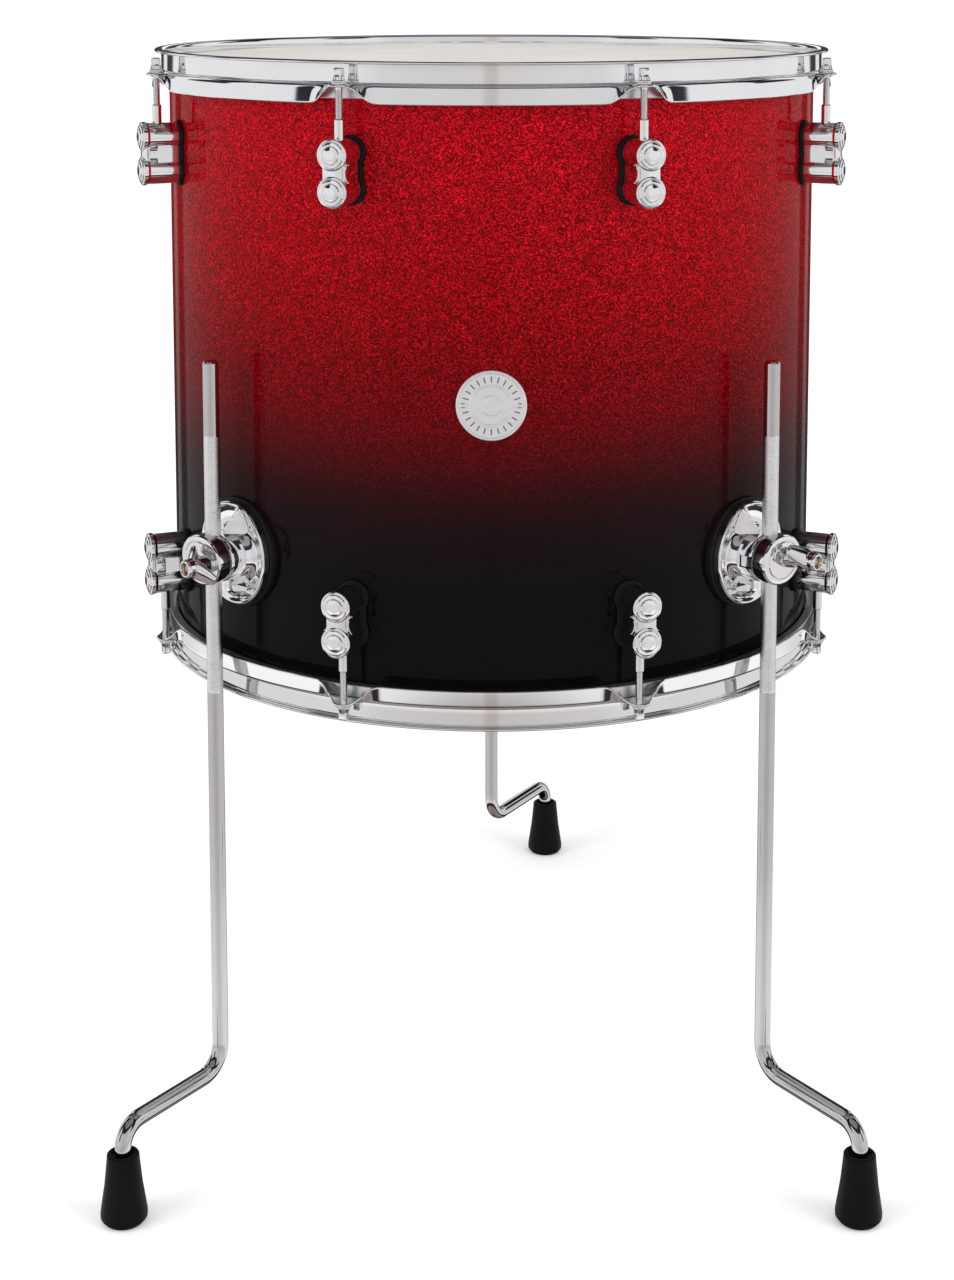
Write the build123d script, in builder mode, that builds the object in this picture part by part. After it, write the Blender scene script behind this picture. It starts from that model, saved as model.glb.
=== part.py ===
"""Floor tom: an 18 x 16 inch maple drum standing on three bent-rod legs.

Millimetres, +Z up, floor at Z = 0. The drum's own axis stands on the line
X = 0, Y = YC, so that the whole object's box is centred on the origin. Azimuth
is measured round that axis from -Y (the badge side), positive towards +X.

Pieces are modelled at azimuth 0 with the drum's axis on Z, then moved into
place. In names, U is a distance out from the drum's axis, Z a height above the
floor, R a radius, T a thickness and AZ an azimuth in degrees. The lower heads,
lugs and rods mirror the upper ones.
"""

from build123d import *
from math import cos, radians, sin
import os

os.makedirs("parts", exist_ok=True)

# -------------------------------------------------------- driving dimensions
INCH = 25.4
SHELL_R = 18 * INCH / 2  # outside
SHELL_T = 5.6  # seven-ply wall
SHELL_H = 16 * INCH
SHELL_IN = SHELL_R - SHELL_T
Z_MID = 530.0  # height of the shell's middle
Z_TOP = Z_MID + SHELL_H / 2  # batter bearing edge
Z_BOT = Z_MID - SHELL_H / 2

LUG_COUNT = 8
LUG_STEP = 360 / LUG_COUNT
LUG_START = LUG_STEP / 2
LUG_DZ = 142.0  # lug centre above or below the shell's middle
Z_LUG = Z_MID + LUG_DZ
TURRET_DZ = 11.5  # turret centre above or below the lug's centre
LUG_BASE_U = 231.6  # back face of the lug
LUG_HOLE_R = 2.6  # screw hole in shell and gasket

ROD_CIRCLE = 244.5  # radius of the tension rod circle
ROD_R = 2.4
EAR_Z = 724.6  # underside of the batter hoop's ears
EAR_T = 2.0
RIM_Z = 740.5  # top of the batter hoop

BRACKET_Z = 414.0
BRACKET_BASE_U = 231.0  # back face of the bracket
BRACKET_AZ = (-46.5, 46.5, 180.0)
BRACKET_SCREW_DZ = 9.0
BRACKET_HOLE_R = 3.0  # screw hole in shell and gasket

LEG_CIRCLE = 250.7  # radius at which the upright legs stand
LEG_R = 5.25
LEG_REACH = 92.6  # upright to foot
LEG_AZ = (-35.2, 35.2, 148.5)  # way each foot points
LEG_END_Z = 12.0
FOOT_R = 15.0

BADGE_Z = 526.5
PIN_X = 17.8  # badge pin either side of the badge's middle

HOLE_GAP = 0.05  # radial clearance of a close hole
SEAT_R = SHELL_R + 0.02  # hollow back of a piece that sits on the shell
PAD_START_U = 220.0  # such a piece is extruded from here, then hollowed
SIDES = ("left", "right", "rear")

FRONT_Y = (
    -LEG_CIRCLE * cos(radians(BRACKET_AZ[1]))
    - LEG_REACH * cos(radians(LEG_AZ[1]))
    - FOOT_R
)
REAR_Y = LEG_CIRCLE - LEG_REACH * cos(radians(LEG_AZ[2])) + FOOT_R
YC = -(FRONT_Y + REAR_Y) / 2  # brings the object's box to Y = 0

DRUM = Location((0, YC, 0))
WAIST = Plane.XY.offset(Z_MID)
SECTION = Plane(origin=(0, 0, 0), x_dir=(1, 0, 0), z_dir=(0, -1, 0))
ROD_XY = (0, -ROD_CIRCLE)
TURRETS = ((0, TURRET_DZ), (0, -TURRET_DZ))
BRACKET_SCREWS = ((0, BRACKET_SCREW_DZ), (0, -BRACKET_SCREW_DZ))
FROM_BASE = (Align.CENTER, Align.CENTER, Align.MIN)
FROM_TOP = (Align.CENTER, Align.CENTER, Align.MAX)


# ------------------------------------------------------------------- helpers
def outward(u, z):
    """Plane facing straight out of the drum at azimuth 0, radius u, height z."""
    return Plane(origin=(0, -u, z), x_dir=(1, 0, 0), z_dir=(0, -1, 0))


def pointing_out(x, u, z):
    """Location whose local z points straight out of the drum."""
    return Location((x, -u, z), (90, 0, 0))


def at_azimuth(az):
    """Location that moves an azimuth 0 piece round the placed drum."""
    return Location((0, YC, 0), (0, 0, az))


def mirrored(half):
    """Outline points followed by their mirror images across x = 0."""
    return [*half, *((-x, y) for x, y in reversed(half))]


def turned(outline):
    """Solid turned about Z from (radius, height) points."""
    with BuildPart() as solid:
        with BuildSketch(SECTION):
            with BuildLine():
                Polyline(*outline, close=True)
            make_face()
        revolve(axis=Axis.Z)
    return solid.part


def rod_sleeve(z, outer_r, bore_r, height):
    """Sleeve on the tension rod's axis, standing up from z."""
    with BuildPart() as sleeve:
        with BuildSketch(Plane.XY.offset(z)):
            with Locations(ROD_XY):
                Circle(outer_r)
                Circle(bore_r, mode=Mode.SUBTRACT)
        extrude(amount=height)
    return sleeve.part


def screw_pair(head_u, z, dz, head_r, head_t, screw_r, length):
    """Two screws at z + dz and z - dz; length includes the head."""
    with BuildPart() as screws:
        with Locations(pointing_out(0, head_u, z + dz), pointing_out(0, head_u, z - dz)):
            Cylinder(head_r, head_t, align=FROM_BASE)
            Cylinder(screw_r, length, align=FROM_BASE)
    return screws.part


def washer_pair(seat_u, z, dz, outer_r, screw_r, thickness):
    """Two washers just outward of screw heads that end at seat_u."""
    with BuildPart() as washers:
        with BuildSketch(outward(seat_u + 0.05, z)):
            with Locations((0, dz), (0, -dz)):
                Circle(outer_r)
                Circle(screw_r + 0.15, mode=Mode.SUBTRACT)
        extrude(amount=thickness)
    return washers.part


def placed(part, *places):
    """One part made of copies of a piece at the given locations."""
    with BuildPart() as copies:
        for place in places:
            with Locations(place):
                add(part)
    return copies.part


def at_lugs(part):
    """One part made of a copy of a piece at every lug of the placed drum."""
    with BuildPart() as ring:
        with Locations(DRUM):
            with PolarLocations(0, LUG_COUNT, start_angle=LUG_START):
                add(part)
    return ring.part


def save(part, name):
    part.label = name
    export_step(part, f"parts/{name}.step")


def save_both(part, upper, lower):
    """Save an upper piece and its mirror image below the waist."""
    save(part, upper)
    with BuildPart() as below:
        mirror(part, about=WAIST)
    save(below.part, lower)


# --------------------------------------------------------------------- shell
EDGE_BREAK = 1.2  # outer corner of the bearing edge
EDGE_PEAK = 1.7  # inner side of the edge's flat, in from the outside
EDGE_FALL = 3.9  # drop from the flat to the inner wall
DRILL = 30.0  # length of the cutters that go through the wall
PIN_HOLE_R, PIN_HOLE_DEPTH = 0.85, 4.2

with BuildPart() as shell:
    with BuildSketch(SECTION):
        with BuildLine():
            Polyline(
                (SHELL_IN, Z_BOT + EDGE_FALL),
                (SHELL_R - EDGE_PEAK, Z_BOT),
                (SHELL_R - EDGE_BREAK, Z_BOT),
                (SHELL_R, Z_BOT + EDGE_BREAK),
                (SHELL_R, Z_TOP - EDGE_BREAK),
                (SHELL_R - EDGE_BREAK, Z_TOP),
                (SHELL_R - EDGE_PEAK, Z_TOP),
                (SHELL_IN, Z_TOP - EDGE_FALL),
                close=True,
            )
        make_face()
    revolve(axis=Axis.Z)
    # screw holes for the sixteen lugs
    for lug_z in (Z_MID + LUG_DZ, Z_MID - LUG_DZ):
        with PolarLocations(0, LUG_COUNT, start_angle=LUG_START):
            for dz in (TURRET_DZ, -TURRET_DZ):
                with Locations(pointing_out(0, SHELL_R, lug_z + dz)):
                    Cylinder(LUG_HOLE_R, DRILL, mode=Mode.SUBTRACT)
    # two screw holes behind each leg bracket
    for az in BRACKET_AZ:
        with Locations(Location((0, 0, 0), (0, 0, az))):
            for dz in (BRACKET_SCREW_DZ, -BRACKET_SCREW_DZ):
                with Locations(pointing_out(0, SHELL_R, BRACKET_Z + dz)):
                    Cylinder(BRACKET_HOLE_R, DRILL, mode=Mode.SUBTRACT)
    # blind holes for the two badge pins
    for x in (PIN_X, -PIN_X):
        with Locations(pointing_out(x, SHELL_R, BADGE_Z)):
            Cylinder(PIN_HOLE_R, 2 * PIN_HOLE_DEPTH, mode=Mode.SUBTRACT)

save(placed(shell.part, DRUM), "shell")

# ---------------------------------------------------- heads: film and collar
# (radius, height) outlines
FILM = (
    (0, Z_TOP + 0.05),
    (SHELL_R, Z_TOP + 0.05),
    (229.05, Z_TOP - 0.5),
    (229.05, EAR_Z - 4.5),
    (229.3, EAR_Z - 4.5),
    (229.3, Z_TOP - 0.3),
    (228.75, Z_TOP + 0.3),
    (0, Z_TOP + 0.3),
)
COLLAR = (
    (229.4, EAR_Z - 7.8),
    (235.4, EAR_Z - 7.8),
    (235.4, EAR_Z - 0.5),
    (234.8, EAR_Z + 0.1),
    (230.0, EAR_Z + 0.1),
    (229.4, EAR_Z - 0.5),
)
save_both(placed(turned(FILM), DRUM), "batter_film", "resonant_film")
save_both(placed(turned(COLLAR), DRUM), "batter_collar", "resonant_collar")

# --------------------------------------------------------------------- hoop
# (radius, height): up the inside, over the rim, down the outside of the skirt
HOOP = (
    (232.2, EAR_Z + 0.2),
    (232.2, RIM_Z - 2.4),
    (233.6, RIM_Z),
    (237.6, RIM_Z),
    (238.2, RIM_Z - 0.6),
    (238.2, RIM_Z - 1.6),
    (235.4, RIM_Z - 2.0),
    (234.0, RIM_Z - 3.4),
    (234.0, EAR_Z + EAR_T),
    (237.3, EAR_Z + EAR_T),
    (238.2, EAR_Z + 1.0),
    (239.6, EAR_Z - 11.1),
    (237.9, EAR_Z - 11.1),
    (236.6, EAR_Z + 0.2),
)
# (x, height), left half of the cut below an ear
SCALLOP_HALF = ((-19, EAR_Z - 20), (-17.5, EAR_Z - 11.4), (-9, EAR_Z - 0.4))
SCALLOP_U, SCALLOP_DEPTH = 236.2, 6.0
# (x, y), left half of an ear seen from above, root to tip
EAR_HALF = ((-15, -236.7), (-9.5, -241.5), (-6.2, -248.0), (-4.4, -250.2))
EAR_HOLE_R = 2.85

with BuildPart() as scallop:
    with BuildSketch(outward(SCALLOP_U, 0)):
        with BuildLine():
            Polyline(*mirrored(SCALLOP_HALF), close=True)
        make_face()
    extrude(amount=SCALLOP_DEPTH)

with BuildPart() as ear:
    with BuildSketch(Plane.XY.offset(EAR_Z)):
        with BuildLine():
            # the tip comes before its mirror image, so the outline runs round
            Polyline(*mirrored(EAR_HALF), close=True)
        make_face()
        with Locations(ROD_XY):
            Circle(EAR_HOLE_R, mode=Mode.SUBTRACT)
    extrude(amount=EAR_T)

with BuildPart() as hoop:
    with BuildSketch(SECTION):
        with BuildLine():
            Polyline(*HOOP, close=True)
        make_face()
    revolve(axis=Axis.Z)
    # the skirt is scalloped away below each ear
    with PolarLocations(0, LUG_COUNT, start_angle=LUG_START):
        add(scallop.part, mode=Mode.SUBTRACT)
    # flat ears that carry the tension rods
    with PolarLocations(0, LUG_COUNT, start_angle=LUG_START):
        add(ear.part)

save_both(placed(hoop.part, DRUM), "batter_hoop", "resonant_hoop")

# --------------------------------------------------------------------- lugs
LUG_DISC_U = 254.6  # middle of the turret discs
LUG_DISC_T = 2.4
LUG_BODY_R, LUG_BODY_W = 9.2, 14.6
LUG_DISC_R, LUG_BRIDGE_W = 10.0, 13.6
LUG_STEPS_R = (8.0, 5.4)  # steps on the front of each disc
LUG_STEP_T = 1.0
LUG_SOFTEN = 0.45
LUG_SCREW_R = 2.0
LUG_SCREW_DEPTH = 7.6
LUG_GASKET_R, LUG_GASKET_W = 10.6, 17.0
LUG_HEAD_U, LUG_HEAD_R, LUG_HEAD_T = 219.4, 3.6, 2.5
LUG_SCREW_L = 19.2
LUG_WASHER_R, LUG_WASHER_T = 4.6, 0.97

NUT_R = 3.1  # swivel nut
NUT_TOP_Z = 705.0
NUT_END_Z = 675.0
NUT_BORE_TOP_Z = Z_LUG + 30.0  # clear above the lug
NUT_BORE_END_Z = NUT_END_Z - 0.5

ROD_WASHER_Z = EAR_Z + EAR_T + 0.02
ROD_WASHER_R, ROD_WASHER_T = 4.7, 0.96

with BuildPart() as lug:
    # figure-eight body
    with BuildSketch(outward(LUG_BASE_U, Z_LUG)):
        with Locations(*TURRETS):
            Circle(LUG_BODY_R)
        Rectangle(LUG_BODY_W, 2 * TURRET_DZ)
    extrude(amount=LUG_DISC_U - LUG_BASE_U)
    # two stepped turret discs joined by a bridge
    with BuildSketch(outward(LUG_DISC_U - LUG_DISC_T / 2, Z_LUG)):
        with Locations(*TURRETS):
            Circle(LUG_DISC_R)
        Rectangle(LUG_BRIDGE_W, 2 * TURRET_DZ)
    extrude(amount=LUG_DISC_T)
    for i, step_r in enumerate(LUG_STEPS_R):
        with BuildSketch(outward(LUG_DISC_U + LUG_DISC_T / 2 + i * LUG_STEP_T, Z_LUG)):
            with Locations(*TURRETS):
                Circle(step_r)
        extrude(amount=LUG_STEP_T)
    # bore for the swivel nut
    with BuildSketch(Plane.XY.offset(NUT_BORE_TOP_Z)):
        with Locations(ROD_XY):
            Circle(NUT_R + HOLE_GAP)
    extrude(amount=NUT_BORE_END_Z - NUT_BORE_TOP_Z, mode=Mode.SUBTRACT)
    # screw holes from the back
    with BuildSketch(outward(LUG_BASE_U, Z_LUG)):
        with Locations(*TURRETS):
            Circle(LUG_SCREW_R + HOLE_GAP)
    extrude(amount=LUG_SCREW_DEPTH, mode=Mode.SUBTRACT)
    front = lug.faces().filter_by(Plane.XZ).sort_by(Axis.Y)[0:2]
    fillet(front.edges(), LUG_SOFTEN)

with BuildPart() as lug_gasket:
    with BuildSketch(outward(PAD_START_U, Z_LUG)):
        with Locations(*TURRETS):
            Circle(LUG_GASKET_R)
        Rectangle(LUG_GASKET_W, 2 * TURRET_DZ)
        with Locations(*TURRETS):
            Circle(LUG_HOLE_R, mode=Mode.SUBTRACT)
    extrude(amount=LUG_BASE_U - PAD_START_U)
    with Locations((0, 0, Z_LUG)):
        Cylinder(SEAT_R, 80, mode=Mode.SUBTRACT)

lug_screws = screw_pair(
    LUG_HEAD_U, Z_LUG, TURRET_DZ, LUG_HEAD_R, LUG_HEAD_T, LUG_SCREW_R, LUG_SCREW_L
)
lug_washers = washer_pair(
    LUG_HEAD_U + LUG_HEAD_T, Z_LUG, TURRET_DZ, LUG_WASHER_R, LUG_SCREW_R, LUG_WASHER_T
)
swivel_nut = rod_sleeve(NUT_END_Z, NUT_R, ROD_R + HOLE_GAP, NUT_TOP_Z - NUT_END_Z)
rod_washer = rod_sleeve(ROD_WASHER_Z, ROD_WASHER_R, ROD_R + 0.08, ROD_WASHER_T)

for part, name in (
    (lug.part, "lug_casings"),
    (lug_gasket.part, "lug_gaskets"),
    (lug_screws, "lug_screws"),
    (lug_washers, "lug_screw_washers"),
    (swivel_nut, "swivel_nuts"),
    (rod_washer, "rod_washers"),
):
    save_both(at_lugs(part), f"{name}_upper", f"{name}_lower")

# ------------------------------------------------------------- tension rods
ROD_END_Z = 676.0
ROD_SEAT = EAR_Z + EAR_T + 1.0  # underside of the flange
FLANGE_R, FLANGE_T = 4.5, 1.1
# (height above the seat, radius) at the foot and top of the cone
CONE = ((FLANGE_T, 4.1), (4.3, 3.1))
KEY_SIDE, KEY_H = 5.4, 6.0
KEY_START = 3.0  # above the seat, inside the cone
ROD_CHAMFER = 0.6

with BuildPart() as rod:
    with BuildSketch(Plane.XY.offset(ROD_END_Z)):
        with Locations(ROD_XY):
            Circle(ROD_R)
    extrude(amount=ROD_SEAT - ROD_END_Z)
    chamfer(rod.edges().sort_by(Axis.Z)[0], ROD_CHAMFER)
    with BuildSketch(Plane.XY.offset(ROD_SEAT)):
        with Locations(ROD_XY):
            Circle(FLANGE_R)
    extrude(amount=FLANGE_T)
    # cone that carries the square key head
    for rise, cone_r in CONE:
        with BuildSketch(Plane.XY.offset(ROD_SEAT + rise)):
            with Locations(ROD_XY):
                Circle(cone_r)
    loft()
    with BuildSketch(Plane.XY.offset(ROD_SEAT + KEY_START)):
        with Locations(ROD_XY):
            Rectangle(KEY_SIDE, KEY_SIDE)
    extrude(amount=KEY_H)
    chamfer(rod.edges().group_by(Axis.Z)[-1], ROD_CHAMFER)

for i in range(LUG_COUNT):
    save_both(
        placed(rod.part, at_azimuth(LUG_START + LUG_STEP * i)),
        f"tension_rod_upper_{i + 1}",
        f"tension_rod_lower_{i + 1}",
    )

# -------------------------------------------------------------------- badge
BADGE_R = 22.25
BADGE_U = 229.9  # flat front face
BADGE_HOLE_R = 0.9
PIN_HEAD_R, PIN_HEAD_T = 1.7, 0.7
PIN_R, PIN_L = 0.75, 5.0

with BuildPart() as badge:
    with BuildSketch(outward(PAD_START_U, BADGE_Z)):
        Circle(BADGE_R)
        with Locations((PIN_X, 0), (-PIN_X, 0)):
            Circle(BADGE_HOLE_R, mode=Mode.SUBTRACT)
    extrude(amount=BADGE_U - PAD_START_U)
    # the back is hollowed to follow the shell
    with Locations((0, 0, BADGE_Z)):
        Cylinder(SEAT_R, 80, mode=Mode.SUBTRACT)
save(placed(badge.part, DRUM), "badge")

with BuildPart() as badge_pins:
    with Locations(DRUM):
        with Locations(*(pointing_out(x, BADGE_U + 0.02, BADGE_Z) for x in (PIN_X, -PIN_X))):
            Cylinder(PIN_HEAD_R, PIN_HEAD_T, align=FROM_BASE)
            Cylinder(PIN_R, PIN_L, align=FROM_TOP)
save(badge_pins.part, "badge_pins")

# ------------------------------------------------------------- leg brackets
NECK_A, NECK_B = 20.8, 16.3  # half width and half height of the oval neck
NECK_START_U = 233.0
NECK_FLARE = 1.6  # extra half width and height at the neck's root
NECK_FLARE_U = 237.6  # where the flare ends
NECK_U = 250.4  # front of the neck; the jaw starts just beyond it
# (radius from the drum's axis, distance from the bracket's own axis)
BRACKET_DISH = (
    (BRACKET_BASE_U, 0),
    (BRACKET_BASE_U, 34.25),
    (234.6, 34.25),
    (236.0, 33.3),
    (236.2, 32.2),
    (235.6, 31.2),
    (233.9, 21.5),
    (233.9, 0),
)
DISH_PLANE = Plane(origin=(0, 0, BRACKET_Z), x_dir=(0, -1, 0), z_dir=(-1, 0, 0))
DISH_AXIS = Axis((0, 0, BRACKET_Z), (0, -1, 0))
GROOVE_R = LEG_R + 0.06
GROOVE_L = 60.0  # cutter, longer than the neck and jaw are high

STUD_X = 11.0  # the clamp stud stands this far beside the leg
STUD_R = 3.0
STUD_START_U, STUD_END_U = 240.4, 279.6
STUD_HOLE_U = 240.0
SLOT_U, SLOT_X, SLOT_W, SLOT_H = 241.0, -15.4, 14.0, 8.0
CUT_OUT = 20.0  # carries stud hole and slot out past the neck's front

BRACKET_SCREW_R, BRACKET_SCREW_L = 2.5, 20.6
BRACKET_SCREW_DEPTH = 8.4
BRACKET_HEAD_U, BRACKET_HEAD_R, BRACKET_HEAD_T = 218.2, 4.6, 3.3
BRACKET_WASHER_R, BRACKET_WASHER_T = 7.5, 1.3
BRACKET_GASKET_R = 36.5

with BuildPart() as bracket:
    with BuildSketch(DISH_PLANE):
        with BuildLine():
            Polyline(*BRACKET_DISH, close=True)
        make_face()
    revolve(axis=DISH_AXIS)
    # oval neck that carries the clamp
    with BuildSketch(outward(NECK_START_U, BRACKET_Z)):
        Ellipse(NECK_A + NECK_FLARE, NECK_B + NECK_FLARE)
    with BuildSketch(outward(NECK_FLARE_U, BRACKET_Z)):
        Ellipse(NECK_A, NECK_B)
    loft()
    with BuildSketch(outward(NECK_FLARE_U, BRACKET_Z)):
        Ellipse(NECK_A, NECK_B)
    extrude(amount=NECK_U - NECK_FLARE_U)
    # half groove for the leg
    with Locations((0, -LEG_CIRCLE, BRACKET_Z)):
        Cylinder(GROOVE_R, GROOVE_L, mode=Mode.SUBTRACT)
    # hole for the clamp stud
    with BuildSketch(outward(STUD_HOLE_U, BRACKET_Z)):
        with Locations((STUD_X, 0)):
            Circle(STUD_R + HOLE_GAP)
    extrude(amount=CUT_OUT, mode=Mode.SUBTRACT)
    # slot that the jaw's tongue sits in
    with BuildSketch(outward(SLOT_U, BRACKET_Z)):
        with Locations((SLOT_X, 0)):
            Rectangle(SLOT_W, SLOT_H)
    extrude(amount=CUT_OUT, mode=Mode.SUBTRACT)
    # blind holes for the two mounting screws
    with BuildSketch(outward(BRACKET_BASE_U, BRACKET_Z)):
        with Locations(*BRACKET_SCREWS):
            Circle(BRACKET_SCREW_R + HOLE_GAP)
    extrude(amount=BRACKET_SCREW_DEPTH, mode=Mode.SUBTRACT)

with BuildPart() as bracket_gasket:
    with BuildSketch(outward(PAD_START_U, BRACKET_Z)):
        Circle(BRACKET_GASKET_R)
        with Locations(*BRACKET_SCREWS):
            Circle(BRACKET_HOLE_R, mode=Mode.SUBTRACT)
    extrude(amount=BRACKET_BASE_U - PAD_START_U)
    with Locations((0, 0, BRACKET_Z)):
        Cylinder(SEAT_R, 120, mode=Mode.SUBTRACT)

bracket_screws = screw_pair(
    BRACKET_HEAD_U, BRACKET_Z, BRACKET_SCREW_DZ,
    BRACKET_HEAD_R, BRACKET_HEAD_T, BRACKET_SCREW_R, BRACKET_SCREW_L,
)
bracket_washers = washer_pair(
    BRACKET_HEAD_U + BRACKET_HEAD_T, BRACKET_Z, BRACKET_SCREW_DZ,
    BRACKET_WASHER_R, BRACKET_SCREW_R, BRACKET_WASHER_T,
)

# ------------------------------------------------- clamp stud, jaw, wing nut
JAW_U, JAW_EDGE_U, JAW_FRONT_U = 251.0, 260.6, 261.6  # back, start of bevel, front
JAW_BEVEL = 1.2
FIELD_A, FIELD_B = 15.4, 11.8  # half width and height of the raised field
BOSS_R = 3.4
SEAT_START_U, NUT_SEAT_U = 256.0, 262.6
NUT_SEAT_R = 5.6
TONGUE_U, TONGUE_X, TONGUE_W, TONGUE_H, TONGUE_L = 242.0, -14.3, 9.6, 7.2, 12.0

WING_NUT_U, WING_NUT_END_U = NUT_SEAT_U + 0.05, 281.5
WING_NUT_R = 5.8
WING_HALF_T = 3.8
NOSE_BORE_U, NOSE_BORE_R = 276.0, 4.3
NUT_TILT = (35.0, 35.0, 15.0)  # how far each wing nut is turned about its stud
# (x from the stud, y), left wing from the jaw side to the nose
WING_HALF = (
    (-5.0, -263.4),
    (-13.4, -263.8),
    (-15.5, -265.0),
    (-15.3, -267.4),
    (-10.4, -271.0),
    (-7.0, -275.6),
    (-5.4, -280.8),
)

with BuildPart() as clamp_stud:
    with BuildSketch(outward(STUD_START_U, BRACKET_Z)):
        with Locations((STUD_X, 0)):
            Circle(STUD_R)
    extrude(amount=STUD_END_U - STUD_START_U)

with BuildPart() as clamp_jaw:
    with BuildSketch(outward(JAW_U, BRACKET_Z)):
        Ellipse(NECK_A, NECK_B)
    extrude(amount=JAW_EDGE_U - JAW_U)
    with BuildSketch(outward(JAW_EDGE_U, BRACKET_Z)):
        Ellipse(NECK_A, NECK_B)
    with BuildSketch(outward(JAW_FRONT_U, BRACKET_Z)):
        Ellipse(NECK_A - JAW_BEVEL, NECK_B - JAW_BEVEL)
    loft()
    # raised inner field and a small centre boss
    with BuildSketch(outward(261.0, BRACKET_Z)):
        Ellipse(FIELD_A, FIELD_B)
    extrude(amount=1.3)
    with BuildSketch(outward(262.0, BRACKET_Z)):
        Circle(BOSS_R)
    extrude(amount=1.0)
    # seat for the wing nut, beside the leg
    with BuildSketch(outward(SEAT_START_U, BRACKET_Z)):
        with Locations((STUD_X, 0)):
            Circle(NUT_SEAT_R)
    extrude(amount=NUT_SEAT_U - SEAT_START_U)
    # tongue that sits in the neck's slot
    with BuildSketch(outward(TONGUE_U, BRACKET_Z)):
        with Locations((TONGUE_X, 0)):
            Rectangle(TONGUE_W, TONGUE_H)
    extrude(amount=TONGUE_L)
    # half groove for the leg, and the stud's hole
    with Locations((0, -LEG_CIRCLE, BRACKET_Z)):
        Cylinder(GROOVE_R, GROOVE_L, mode=Mode.SUBTRACT)
    with BuildSketch(outward(STUD_HOLE_U, BRACKET_Z)):
        with Locations((STUD_X, 0)):
            Circle(STUD_R + 0.08)
    extrude(amount=40, mode=Mode.SUBTRACT)

with BuildPart() as wing_nut:
    with BuildSketch(outward(WING_NUT_U, BRACKET_Z)):
        with Locations((STUD_X, 0)):
            Circle(WING_NUT_R)
    extrude(amount=WING_NUT_END_U - WING_NUT_U)
    # two wings that sweep back from the nut's nose to the jaw
    with BuildSketch(Plane.XY.offset(BRACKET_Z)):
        with BuildLine():
            Polyline(*((STUD_X + x, y) for x, y in mirrored(WING_HALF)), close=True)
        make_face()
    extrude(amount=WING_HALF_T, both=True)
    # stud hole right through, then a wider bore in the nose
    for bore_u, bore_r in ((262.0, STUD_R + HOLE_GAP), (NOSE_BORE_U, NOSE_BORE_R)):
        with BuildSketch(outward(bore_u, BRACKET_Z)):
            with Locations((STUD_X, 0)):
                Circle(bore_r)
        extrude(amount=30.0, mode=Mode.SUBTRACT)

bracket_places = [at_azimuth(az) for az in BRACKET_AZ]
save(placed(bracket_gasket.part, *bracket_places), "bracket_gaskets")
save(placed(bracket_screws, *bracket_places), "bracket_screws")
save(placed(bracket_washers, *bracket_places), "bracket_washers")

for side, place, tilt in zip(SIDES, bracket_places, NUT_TILT):
    save(placed(bracket.part, place), f"leg_bracket_{side}")
    save(placed(clamp_stud.part, place), f"clamp_stud_{side}")
    save(placed(clamp_jaw.part, place), f"clamp_jaw_{side}")
    # each wing nut has come to rest at its own angle about the stud
    nut_place = (
        place
        * Location((STUD_X, 0, BRACKET_Z), (0, tilt, 0))
        * Location((-STUD_X, 0, -BRACKET_Z))
    )
    save(placed(wing_nut.part, nut_place), f"wing_nut_{side}")

# ------------------------------------------------------------ legs and feet
LEG_TOP_Z = 544.0
ARM_Z = 62.5  # level run between the two bends
UPPER_BEND = 18.0
LOWER_BEND = 15.0
FOOT_H = 45.5
SOCKET_R = LEG_R + HOLE_GAP
ARC_IN = 1 - sin(radians(45))  # middle of a unit quarter bend, in from its tangents

# (radius, height)
FOOT = (
    (0, 0),
    (FOOT_R - 2.2, 0),
    (FOOT_R, 3.0),
    (FOOT_R, 7.0),
    (10.4, FOOT_H - 2.5),
    (9.4, FOOT_H),
    (7.6, FOOT_H),
    (7.2, FOOT_H - 2.0),
    (SOCKET_R, FOOT_H - 2.0),
    (SOCKET_R, LEG_END_Z - 0.05),
    (0, LEG_END_Z - 0.05),
)

# upright on Z, with the foot end towards -Y
with BuildPart() as leg:
    with BuildLine(Plane.YZ) as run:
        Line((0, LEG_TOP_Z), (0, ARM_Z + UPPER_BEND))
        ThreePointArc(
            (0, ARM_Z + UPPER_BEND),
            (-UPPER_BEND * ARC_IN, ARM_Z + UPPER_BEND * ARC_IN),
            (-UPPER_BEND, ARM_Z),
        )
        Line((-UPPER_BEND, ARM_Z), (-LEG_REACH + LOWER_BEND, ARM_Z))
        ThreePointArc(
            (-LEG_REACH + LOWER_BEND, ARM_Z),
            (-LEG_REACH + LOWER_BEND * ARC_IN, ARM_Z - LOWER_BEND * ARC_IN),
            (-LEG_REACH, ARM_Z - LOWER_BEND),
        )
        Line((-LEG_REACH, ARM_Z - LOWER_BEND), (-LEG_REACH, LEG_END_Z))
    with BuildSketch(Plane(origin=(0, 0, LEG_TOP_Z), x_dir=(1, 0, 0), z_dir=(0, 0, -1))):
        Circle(LEG_R)
    sweep(path=run.wire())
    chamfer(leg.edges().sort_by(Axis.Z)[-1], 1.0)

foot = turned(FOOT)

for side, az, way in zip(SIDES, BRACKET_AZ, LEG_AZ):
    x = LEG_CIRCLE * sin(radians(az))
    y = YC - LEG_CIRCLE * cos(radians(az))
    save(placed(leg.part, Location((x, y, 0), (0, 0, way))), f"leg_{side}")
    foot_x = x + LEG_REACH * sin(radians(way))
    foot_y = y - LEG_REACH * cos(radians(way))
    save(placed(foot, Location((foot_x, foot_y, 0))), f"foot_{side}")
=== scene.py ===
"""Floor tom: the looks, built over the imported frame. Lengths are worked out in
millimetres and turned into metres when a mesh is made."""

import math

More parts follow.
